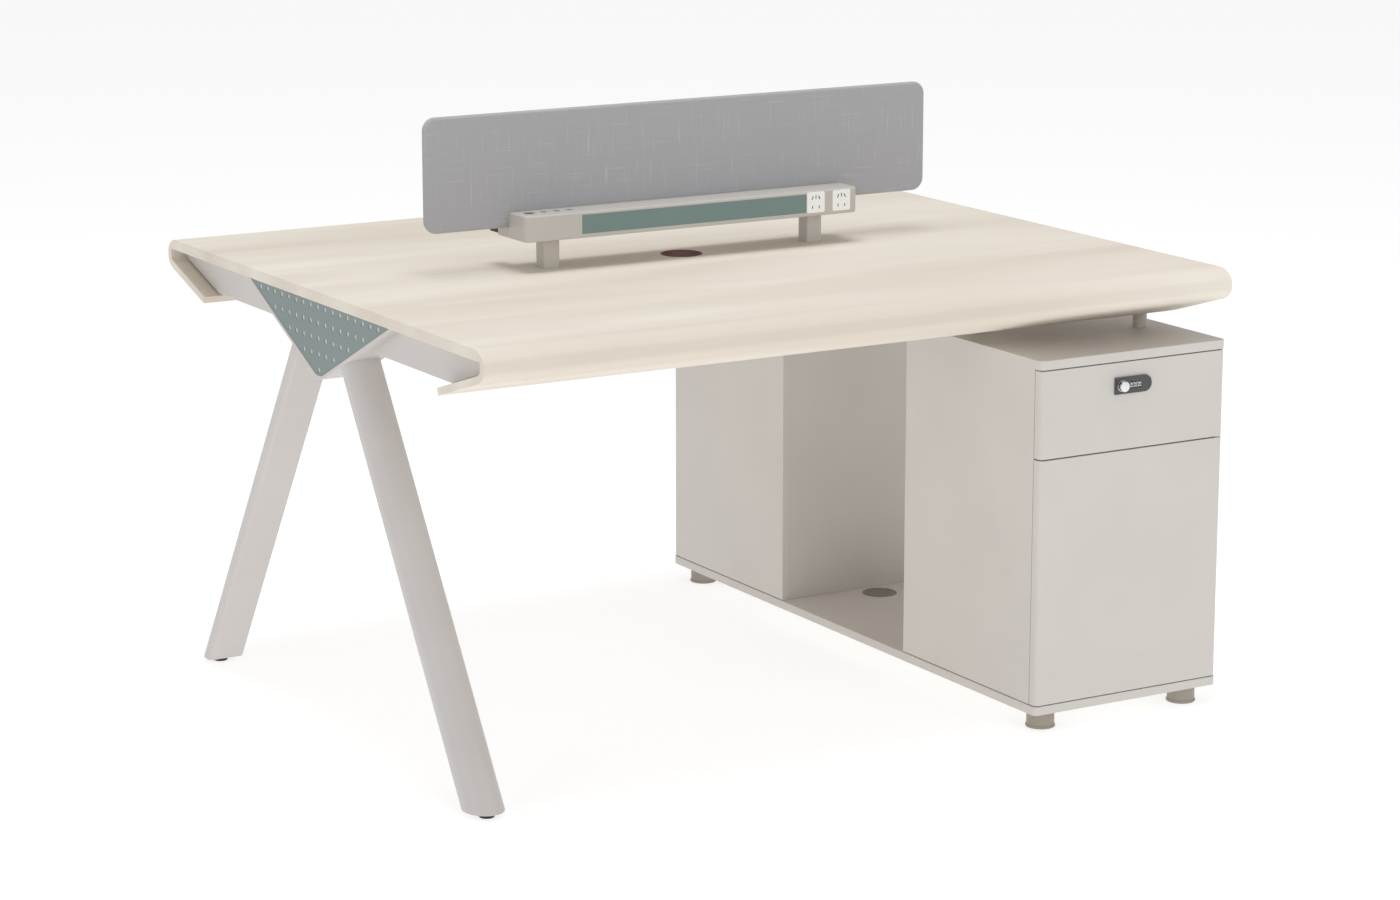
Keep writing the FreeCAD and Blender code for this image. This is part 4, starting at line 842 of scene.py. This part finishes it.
class BENCHDESK_OT_sockets(bpy.types.Operator):
    """Make the two mains sockets and the power inlet"""
    bl_idname = "bench_desk.sockets"
    bl_label = "Sockets"

    def execute(self, context):
        for name, x in SOCKETS:
            finish_piece(name + "_mains_socket", self.socket(x), name + "_socket", recalc=False,
                         more=("dark_plastic",))
        bm = shape(slab, (-336, 50, 805.5), (-310, 80, 813.5))
        ease(bm, 1.2, 3, 60)
        bm = carved(bm, shape(slab, (-333.5, 68, 807.5), (-312.5, 80 + OVERRUN, 811.5)))
        rod(bm, 3.5, (-318, 34, 809.5), 16, axis=1)
        finish_piece("rail_power_inlet", bm, "power_inlet", recalc=False)
        return {"FINISHED"}

    def socket(self, x):
        """A faceplate whose slots show a dark back of painted shade, with the body behind it."""
        front, proud, z = TRAY_Y[0], 1.2, SOCKET_Z
        wide, half = SOCKET_FACE, SOCKET_HALF
        bm = shape(slab, (x - wide, front - proud, z - wide), (x + wide, front, z + wide))
        rounded(bm, edges_along(bm, 1), 3.0, 5)
        ease(bm, 0.4, 3, 60)
        slots = bmesh.new()
        for dx, dz, length, lean in SLOTS:
            made = slab(slots, (-1.0, -2, -length / 2), (1.0, 2, length / 2))
            turn = turned_at((x + dx, front - 1, z + dz), math.radians(lean), "Y")
            bmesh.ops.transform(slots, matrix=turn, verts=made)
        bm = carved(bm, slots)
        slab(bm, (x - half, front, z - half), (x + half, front + 24, z + half))
        # Dark pads just behind the slots: painted shade where the slots' insides would be
        for dz in (8.2, -8.4):
            slab(bm, (x - 10.5, front - 0.3, z + dz - 5), (x + 10.5, front, z + dz + 5))
        # The pads' faces take the dark plastic, painting the shade inside the slots
        for face in bm.faces:
            if front - 0.5 < face.calc_center_median().y < front and abs(face.normal.y) > 0.9:
                face.material_index = 1
        return bm


class BENCHDESK_OT_screen(bpy.types.Operator):
    """Make the fabric screen and its clamps"""
    bl_idname = "bench_desk.screen"
    bl_label = "Screen"

    def execute(self, context):
        low, high = corners("screen_cover")
        bm = shape(slab, low, high)
        rounded(bm, edges_along(bm, 1), SCREEN_CORNER, 12)
        rim = [e for e in bm.edges if lies_at(e, 1, low.y) or lies_at(e, 1, high.y)]
        rounded(bm, rim, sizes().screen_edge / MM, 6)
        cover = finish_piece("screen_fabric_cover", bm, "screen_cover", smooth=50)
        low, high = corners("screen_core")
        bm = shape(slab, low + Vector((0, 0, 1)), high)
        rounded(bm, edges_along(bm, 1), SCREEN_CORNER - 1, 12)
        ease(bm, 4.2, 3)
        finish_piece("screen_stiff_board", bm, "screen_core")
        clamps = bmesh.new()
        for x in CLAMP_XS:
            prism(clamps, [(22, 820), (46, 820), (46, 823), (25, 823), (25, 862), (22, 862)], 0,
                  x - 20, x + 20)
        ease(clamps, 0.5)
        finish_piece("screen_angle_clamps", clamps, "screen_clamps")
        return {"FINISHED"}


# Cabinets, front user's side
CAB_X = (318.5, 694.5)
INNER_X = (333.5, 679.5)
BOARD_X = (317.5, 695.5)
FRONT_X = (319.0, 694.0)
FACE_Y = -594.5
FRONT_BACK_Y = FACE_Y + 18.0
BODY_Y = (-575.9, -200.0)
BACK_Y = (-216.5, -201.5)
BASE_Z = (32.0, 47.0)
BODY_Z = (47.0, 615.4)
TOP_Z = (615.4, 631.0)
DRAWER_Z = (466.6, 613.6)
DOOR_Z = (48.6, 464.4)
DIVIDER_Z = 458.0
SHELF_Z = 252.0
SHELF_SETBACK = 14.0
GROOVE_DEPTH = 2.0
GROOVE_HEIGHT = 1.6
PIVOT_SLOT = ((679.0, -580.0, 464.85), (691.05, -550.85, 466.15))
PIVOT_HOLE = 3.05
GROMMET = (504.0, 158.0)
GROMMET_RADIUS = 28.0
KNOB_X = 478.5
CAM_SLOT_Y = (-575.0, -572.2)
BARREL_HOLE = 9.6
LOCK_BACK_X = (493.5, 518.5)
LOCK_BACK_Y = -580.4
LOCK_BACK_HALF = 10.6
TRAY_LOW = Vector((346.5, -576.5, 482))
TRAY_HIGH = Vector((666.5, -236.5, 582))
TRAY_SHEET = 1.5


def cornered_board(low, high, radius, at):
    """A board with some upright corners rounded and every edge eased."""
    bm = shape(slab, low, high)
    rounded(bm, edges_along(bm, 2, at), radius, 8)
    ease(bm, sizes().board_ease / MM)
    return bm


def at_face(middle):
    return middle.y < FACE_Y + 1


class BENCHDESK_OT_carcasses(bpy.types.Operator):
    """Make the cabinets' sides, backs, tops, base and inner boards"""
    bl_idname = "bench_desk.carcasses"
    bl_label = "Cabinet boards"

    def execute(self, context):
        soft = sizes().board_ease / MM
        corner = sizes().board_corner / MM
        z0, z1 = BODY_Z
        for name, side in SIDES:
            bm = bmesh.new()
            for wall, way in ((CAB_X[0], 1), (CAB_X[1], -1)):
                groove = wall + way * GROOVE_DEPTH
                prism(bm, [(wall, z0 + GROOVE_HEIGHT), (groove, z0 + GROOVE_HEIGHT), (groove, z0),
                           (wall + way * PANEL, z0), (wall + way * PANEL, z1), (wall, z1)], 1, *BODY_Y)
            ease(outward(bm), soft * 0.8)
            bm = carved(bm, shape(slab, *PIVOT_SLOT))
            if side > 0:
                mirrored(bm)
            finish_piece(name + "_carcass_sides", bm, name + "_cabinet_sides", recalc=False)
        bm = shape(slab, (INNER_X[0], BACK_Y[0], z0), (INNER_X[1], BACK_Y[1], z1))
        ease(bm, soft)
        finish_piece("carcass_backs", also_rear(bm), "cabinet_backs")
        bm = bmesh.new()
        for z, setback in ((DIVIDER_Z, 0), (SHELF_Z, SHELF_SETBACK)):
            slab(bm, (INNER_X[0], BODY_Y[0] + setback, z), (INNER_X[1], BACK_Y[0], z + PANEL))
        ease(bm, soft)
        finish_piece("carcass_inner_boards", also_rear(bm), "inner_boards")
        tops = bmesh.new()
        for turned in (False, True):
            bm = cornered_board((BOARD_X[0], FACE_Y, TOP_Z[0]), (BOARD_X[1], BODY_Y[1], TOP_Z[1]), corner,
                                at_face)
            bm = carved(bm, shape(slab, (KNOB_X - 8, CAM_SLOT_Y[0], TOP_Z[0] - 2),
                                  (KNOB_X + 30, CAM_SLOT_Y[1], TOP_Z[0] + 8)))
            joined(tops, rear_turned(bm) if turned else bm)
        finish_piece("cabinet_top_boards", tops, "cabinet_tops", recalc=False)
        bm = cornered_board((BOARD_X[0], FACE_Y, BASE_Z[0]), (BOARD_X[1], -FACE_Y, BASE_Z[1]), corner,
                            lambda m: True)
        holes = shape(rod, GROMMET_RADIUS, (*GROMMET, BASE_Z[0] - 3), PANEL + 6, steps=64)
        for side in (-1, 1):
            rod(holes, PIVOT_HOLE, (PIVOT_X, side * PIVOT_Y, 40), 12)
        finish_piece("cabinet_base_board", carved(bm, holes), "base_board", recalc=False)
        return {"FINISHED"}


class BENCHDESK_OT_fronts(bpy.types.Operator):
    """Make the drawer fronts and the doors"""
    bl_idname = "bench_desk.fronts"
    bl_label = "Drawer fronts and doors"

    def execute(self, context):
        radius = sizes().front_corner / MM
        for name, side in SIDES:
            bm = cornered_board((FRONT_X[0], FACE_Y, DRAWER_Z[0]), (FRONT_X[1], FRONT_BACK_Y, DRAWER_Z[1]),
                                radius, at_face)
            recess = shape(rod, BARREL_HOLE, (KNOB_X, FACE_Y - 3, LOCK_Z), 24, axis=1)
            slab(recess, (LOCK_BACK_X[0] - 0.1, FACE_Y - 3, LOCK_Z - LOCK_BACK_HALF - 0.1),
                 (LOCK_BACK_X[1] + 0.1, LOCK_BACK_Y + 0.1, LOCK_Z + LOCK_BACK_HALF + 0.1))
            bm = carved(bm, recess)
            if side > 0:
                rear_turned(bm)
            finish_piece(name + "_drawer_board", bm, name + "_drawer_front", body=name + "_drawer",
                         recalc=False)
            bm = shape(slab, (FRONT_X[0], FACE_Y, DOOR_Z[0]), (FRONT_X[1], FRONT_BACK_Y, DOOR_Z[1]))
            rounded(bm, edges_along(bm, 2, lambda m: m.y > FRONT_BACK_Y - 1 and m.x > PIVOT_X), 8.0, 8)
            rounded(bm, edges_along(bm, 2, at_face), radius, 8)
            ease(bm, sizes().board_ease / MM)
            if side > 0:
                mirrored(bm)
            finish_piece(name + "_door_board", bm, name + "_door", body=name + "_door_leaf", recalc=False)
        return {"FINISHED"}


class BENCHDESK_OT_drawers(bpy.types.Operator):
    """Make the folded steel drawer trays"""
    bl_idname = "bench_desk.drawers"
    bl_label = "Drawer trays"

    def execute(self, context):
        sheet = TRAY_SHEET
        for name, side in SIDES:
            bm = shape(slab, TRAY_LOW, TRAY_HIGH)
            room = shape(slab, TRAY_LOW + Vector((sheet, sheet, sheet)),
                         TRAY_HIGH + Vector((-sheet, -sheet, 10)))
            for part, radius, segments in ((bm, 2.5, 4), (room, 1.0, 3)):
                folds = [e for axis in (0, 1)
                         for e in edges_along(part, axis, lambda m: m.z < TRAY_LOW.z + 10)]
                rounded(part, folds, radius, segments)
            bm = carved(bm, room)
            bm = carved(bm, shape(rod, BARREL_HOLE, (KNOB_X, TRAY_LOW.y - 4, LOCK_Z), 9, axis=1))
            if side > 0:
                rear_turned(bm)
            finish_piece(name + "_drawer_tray", bm, name + "_drawer_box", body=name + "_drawer", recalc=False)
        return {"FINISHED"}


# Locks
PLATE_X = (465.5, 539.5)
PLATE_Y = -598.5
PLATE_HALF = 14.0
DIAL_XS = (498.0, 506.0, 514.0)
DIAL_Y = -591.0
DIAL_RADIUS = 9.0
DIAL_WIDTH = 5.8
DIAL_GAP = 0.4
SPINDLE_RADIUS = 4.0
SPINDLE_END_Y = -572.6
BARREL_RADIUS = 9.5
DIGIT_SIZE = 5.6


class BENCHDESK_OT_locks(bpy.types.Operator):
    """Make the combination locks: body, knob and numbered wheels"""
    bl_idname = "bench_desk.locks"
    bl_label = "Locks"

    def execute(self, context):
        for name, side in SIDES:
            def finish(piece, bm, body, node, **options):
                if side > 0:
                    rear_turned(bm)
                return finish_piece(name + piece, bm, name + node, body=name + body, **options)
            finish("_lock_body", self.case(), "_drawer", "_lock_case", recalc=False)
            finish("_lock_turn_knob", self.knob(), "_lock", "_lock_knob", more=("lock_metal",))
            for i, x in enumerate(DIAL_XS):
                finish("_lock_wheel_" + str(i + 1), self.wheel(x), "_dial_" + str(i + 1),
                       "_lock_dial_" + str(i + 1), more=("dark_plastic",))
        return {"FINISHED"}

    def case(self):
        """The plate with its round end, the wheels' housing behind it and the knob's barrel."""
        (left, right), low, high = PLATE_X, LOCK_Z - PLATE_HALF, LOCK_Z + PLATE_HALF
        bm = bmesh.new()
        verts = [bm.verts.new((x, FACE_Y, z))
                 for x, z in ((left, low), (right, low), (right, high), (left, high))]
        bm.faces.new(verts)
        rounded_points(bm, verts[1:3], PLATE_HALF - NEAR, 12)
        push(bm, bm.faces[:], (0, PLATE_Y - FACE_Y, 0))
        outward(bm)
        rounded(bm, [e for e in bm.edges if lies_at(e, 1, PLATE_Y)], 1.0, 3)
        back = shape(slab, (LOCK_BACK_X[0], FACE_Y, LOCK_Z - LOCK_BACK_HALF),
                     (LOCK_BACK_X[1], LOCK_BACK_Y, LOCK_Z + LOCK_BACK_HALF))
        parts = []
        for part in (bm, back):
            cuts = bmesh.new()
            width = DIAL_WIDTH + 2 * DIAL_GAP
            for x in DIAL_XS:
                rod(cuts, DIAL_RADIUS + DIAL_GAP, (x - width / 2, DIAL_Y, LOCK_Z), width, axis=0)
            parts.append(carved(part, cuts))
        bore = SPINDLE_RADIUS + 0.05
        whole = carved(parts[0], shape(rod, bore, (KNOB_X, -610, LOCK_Z), 30, axis=1))
        barrel = shape(lathe, [(bore, 0), (BARREL_RADIUS, 0), (BARREL_RADIUS, 19.5), (bore, 19.5)],
                       (KNOB_X, FACE_Y, LOCK_Z), axis=1)
        return joined(whole, parts[1], outward(barrel))

    def knob(self):
        """A chromed cap on a dark neck, with its spindle; the neck's dark is painted shade under the cap."""
        neck_radius, neck = 6.0, (1.5, 5.5)
        bm = shape(lathe, [(0, 0), (9.5, 0), (9.5, 1.1), (9.1, neck[0]), (neck_radius, neck[0]),
                           (neck_radius, neck[1]), (8.6, neck[1]), (9.0, 5.8), (9.0, 8.4), (8.7, 9.1),
                           (8.0, 9.5), (0, 9.5)], (KNOB_X, PLATE_Y, LOCK_Z), axis=1, way=-1, steps=64)
        # The neck's faces take the dark lock finish: painted shade in the recess under the cap
        for face in bm.faces:
            middle = face.calc_center_median() - Vector((KNOB_X, PLATE_Y, LOCK_Z))
            if neck[0] < -middle.y < neck[1] - 0.1 and math.hypot(middle.x, middle.z) < neck_radius + 1:
                face.material_index = 1
        rod(bm, SPINDLE_RADIUS, (KNOB_X, PLATE_Y, LOCK_Z), SPINDLE_END_Y - PLATE_Y, axis=1)
        return bm

    def wheel(self, x):
        """A wheel with a flat and a plain number for each position."""
        flats = sizes().dial_flats
        half_step = math.pi / flats
        bm = bmesh.new()
        bmesh.ops.create_cone(bm, cap_ends=True, segments=flats, radius1=DIAL_RADIUS, radius2=DIAL_RADIUS,
                              depth=DIAL_WIDTH)
        ease(bm, 0.5, 2, 20)
        turn = turned_at((x, DIAL_Y, LOCK_Z), QUARTER, "Y")
        bmesh.ops.transform(bm, matrix=turn @ Matrix.Rotation(half_step, 4, "Z"), verts=bm.verts)
        if sizes().dial_digits:
            for i in range(flats):
                add_digit(bm, str(i % 10), x, i * 2 * half_step, DIAL_RADIUS * math.cos(half_step) + 0.02)
        return bm


def add_digit(bm, sign, x, angle, reach):
    """Prints one plain number on a wheel's flat, read from outside."""
    curve = bpy.data.curves.new("Number", "FONT")
    curve.body = sign
    curve.size = DIGIT_SIZE
    curve.align_x = "CENTER"
    curve.align_y = "CENTER"
    curve.resolution_u = 2
    made = new_object("Number", curve)
    graph = bpy.context.evaluated_depsgraph_get()
    mesh = bpy.data.meshes.new_from_object(made.evaluated_get(graph))
    bpy.data.objects.remove(made)
    bpy.data.curves.remove(curve)
    turn = turned_at((x, DIAL_Y, LOCK_Z), angle, "X")
    mesh.transform(turn @ turned_at((0, -reach, 0), QUARTER, "X"))
    before = len(bm.faces)
    bm.from_mesh(mesh)
    bpy.data.meshes.remove(mesh)
    bm.faces.ensure_lookup_table()
    for face in bm.faces[before:]:
        face.material_index = 1


# Small turned parts
POSTS = ((639.5, 430.0), (373.0, 330.0))
FEET = tuple((x, side * 553.5) for x in (359.5, 653.5) for side in (-1, 1))
BEAM_SCREWS = [(-653.6, side * y, 729.5) for y in (450, 180) for side in (-1, 1)]
BOLT_RADIUS = 3.0
SCREW_RADIUS = 2.0


class BENCHDESK_OT_posts(bpy.types.Operator):
    """Make the round posts, cabinet feet and cable grommet"""
    bl_idname = "bench_desk.posts"
    bl_label = "Posts, feet and grommet"

    def execute(self, context):
        bm = bmesh.new()
        for x, y in POSTS:
            for side in (-1, 1):
                lathe(bm, [(0, 631), (11.6, 631), (12, 631.4), (12, 728.5), (11.4, 729), (11.4, 730),
                           (12, 730.5), (12, UNDER), (0, UNDER)], (x, side * y, 0), steps=40)
        finish_piece("cabinet_round_posts", bm, "cabinet_posts")
        bm = bmesh.new()
        for x, y in FEET:
            lathe(bm, [(0, 0), (24.2, 0), (25, 0.9), (25, 3.0), (24.4, 4.4), (23.5, 5.0), (23.5, 31.0),
                       (22.8, 32), (0, 32)], (x, y, 0), steps=48)
        finish_piece("cabinet_round_feet", bm, "cabinet_feet")
        centre = (*GROMMET, 0)
        bm = shape(lathe, [(26, 32), (28, 32), (28, 47), (32, 47), (31.6, 47.9), (30.6, 48.5), (26.4, 48.5),
                           (26, 48.1)], centre, steps=64)
        cap = shape(lathe, [(0, 47), (25.9, 47), (25.9, 48.1), (25.5, 48.5), (0, 48.5)], centre, steps=64)
        cap = carved(cap, shape(rod, 8.0, (GROMMET[0] + 26, GROMMET[1], 45), 6, steps=32))
        finish_piece("base_cable_grommet", joined(outward(bm), cap), "base_grommet", recalc=False)
        return {"FINISHED"}


class BENCHDESK_OT_fasteners(bpy.types.Operator):
    """Make the bolts and screws"""
    bl_idname = "bench_desk.fasteners"
    bl_label = "Fasteners"

    def execute(self, context):
        head = [(0, 0), (5.0, 0), (5.0, 3.6), (4.6, 4.0), (2.6, 4.0), (2.6, 1.5), (0, 1.5)]
        bm = bmesh.new()
        seats = [(x, side * y, TOP_Z[0], 1) for x, y in POSTS for side in (-1, 1)]
        seats += [(x, 0, UNDER, 1) for x in TRAY_POST_XS]
        seats += [(x, 0, TRAY_Z[0] + TRAY_WALL, -1) for x in TRAY_POST_XS]
        for x, y, z, up in seats:
            lathe(bm, head, (x, y, z), way=-up, steps=24)
            rod(bm, BOLT_RADIUS, (x, y, z), 30, way=up, steps=16)
        finish_piece("desk_bolts", bm, "mounting_bolts")
        dome = [(0, 0), (4.0, 0), (4.0, 1.0), (3.4, 2.0), (2.4, 2.5), (1.3, 2.5), (1.3, 1.2), (0, 1.2)]
        bm = bmesh.new()
        up = BEAM_SCREWS + [(x, side * RAIL_Y, 730) for x in RAIL_SCREW_XS for side in (-1, 1)]
        xs = [x + turn * 12 for x in CLAMP_XS for turn in (-1, 1)]
        down = [(x, 34, 823) for x in xs]
        back = [(x, 25, 841) for x in xs]
        for places, axis, way in ((up, 2, 1), (down, 2, -1), (back, 1, -1)):
            for place in places:
                lathe(bm, dome, place, axis=axis, way=-way, steps=20)
                rod(bm, SCREW_RADIUS, place, 12, axis=axis, way=way, steps=12)
        finish_piece("desk_screws", bm, "mounting_screws")
        return {"FINISHED"}


# Studio: the camera's focal length and the photograph's width in pixels, the eye's place in metres
# and its turns in degrees, and the softboxes with their sizes and places in metres
FOCAL_PIXELS = 3737.13
FRAME_PIXELS = 1400
SENSOR_WIDTH = 36
EYE = (-3.17527, -5.42914, 1.82266)
EYE_DOWN = 12.697
EYE_TURN = 30.523
FLOOR_HALF = 150
SOFTBOXES = (("Overhead softbox", "key_power", 2.4, (-0.2, -0.2, 5.6)),
             ("Side softbox", "side_power", 2.2, (-4.6, -1.6, 1.7)),
             ("Front softbox", "front_power", 2.4, (0.9, -4.9, 2.4)))


class BENCHDESK_OT_studio(bpy.types.Operator):
    """Make the floor, light and camera"""
    bl_idname = "bench_desk.studio"
    bl_label = "Studio"

    def execute(self, context):
        scene = context.scene
        studio = scene.bench_desk_studio
        scene.view_settings.view_transform = "Standard"
        lens = bpy.data.cameras.new("Studio camera")
        lens.lens = FOCAL_PIXELS / FRAME_PIXELS * SENSOR_WIDTH
        lens.clip_end = 400
        eye = new_object("Studio camera", lens)
        eye.location = EYE
        eye.rotation_euler = (math.radians(90 - EYE_DOWN), 0, math.radians(-EYE_TURN))
        scene.camera = eye
        bm = bmesh.new()
        bmesh.ops.create_grid(bm, x_segments=1, y_segments=1, size=FLOOR_HALF)
        floor = new_object("Studio floor", mesh_of("Studio floor", bm))
        # A paper floor, lit through from below, that throws light back under the desk
        paper, _, shader, _ = new_finish("Studio paper")
        for key, value in (("Base Color", (*studio.floor_tone, 1)), ("Roughness", 0.9),
                           ("Emission Color", (1, 1, 1, 1)), ("Emission Strength", studio.floor_glow)):
            shader.inputs[key].default_value = value
        floor.data.materials.append(paper)
        world = bpy.data.worlds.new("Studio")
        scene.world = world
        world.use_nodes = True
        sky = world.node_tree.nodes["Background"]
        sky.inputs[0].default_value = (1, 1, 1, 1)
        sky.inputs[1].default_value = studio.sky_strength
        for name, power, size, place in SOFTBOXES:
            lamp = bpy.data.lights.new(name, "AREA")
            lamp.size = size
            lamp.energy = getattr(studio, power)
            made = new_object(name, lamp)
            made.location = place
            made.rotation_euler = (Vector((0, 0, 0.5)) - made.location).to_track_quat("-Z", "Y").to_euler()
        return {"FINISHED"}


STEPS = (BENCHDESK_OT_finishes, BENCHDESK_OT_worktop, BENCHDESK_OT_beam, BENCHDESK_OT_bracket,
         BENCHDESK_OT_legs, BENCHDESK_OT_rails, BENCHDESK_OT_tray, BENCHDESK_OT_sockets,
         BENCHDESK_OT_screen, BENCHDESK_OT_carcasses, BENCHDESK_OT_fronts, BENCHDESK_OT_drawers,
         BENCHDESK_OT_locks, BENCHDESK_OT_posts, BENCHDESK_OT_fasteners, BENCHDESK_OT_studio)
GROUPS = {"bench_desk_sizes": BenchDeskSizes, "bench_desk_colours": BenchDeskColours,
          "bench_desk_studio": BenchDeskStudio}


class BENCHDESK_PT_panel(bpy.types.Panel):
    """Lists the steps that build the desk's visible pieces"""
    bl_idname = "BENCHDESK_PT_panel"
    bl_label = "Bench Desk"
    bl_space_type = "VIEW_3D"
    bl_region_type = "UI"
    bl_category = "Bench Desk"

    def draw(self, context):
        for name in GROUPS:
            group = getattr(context.scene, name)
            box = self.layout.box()
            for key in group.bl_rna.properties.keys():
                if key not in ("rna_type", "name"):
                    box.prop(group, key)
        for step in STEPS:
            self.layout.operator(step.bl_idname)


def register():
    for made in (*GROUPS.values(), *STEPS, BENCHDESK_PT_panel):
        bpy.utils.register_class(made)
    for key, group in GROUPS.items():
        setattr(bpy.types.Scene, key, PointerProperty(type=group))


def unregister():
    for key in GROUPS:
        delattr(bpy.types.Scene, key)
    for made in (BENCHDESK_PT_panel, *reversed(STEPS), *GROUPS.values()):
        bpy.utils.unregister_class(made)


def main():
    register()
    for step in STEPS:
        group, action = step.bl_idname.split(".")
        getattr(getattr(bpy.ops, group), action)()


if __name__ == "__main__":
    main()
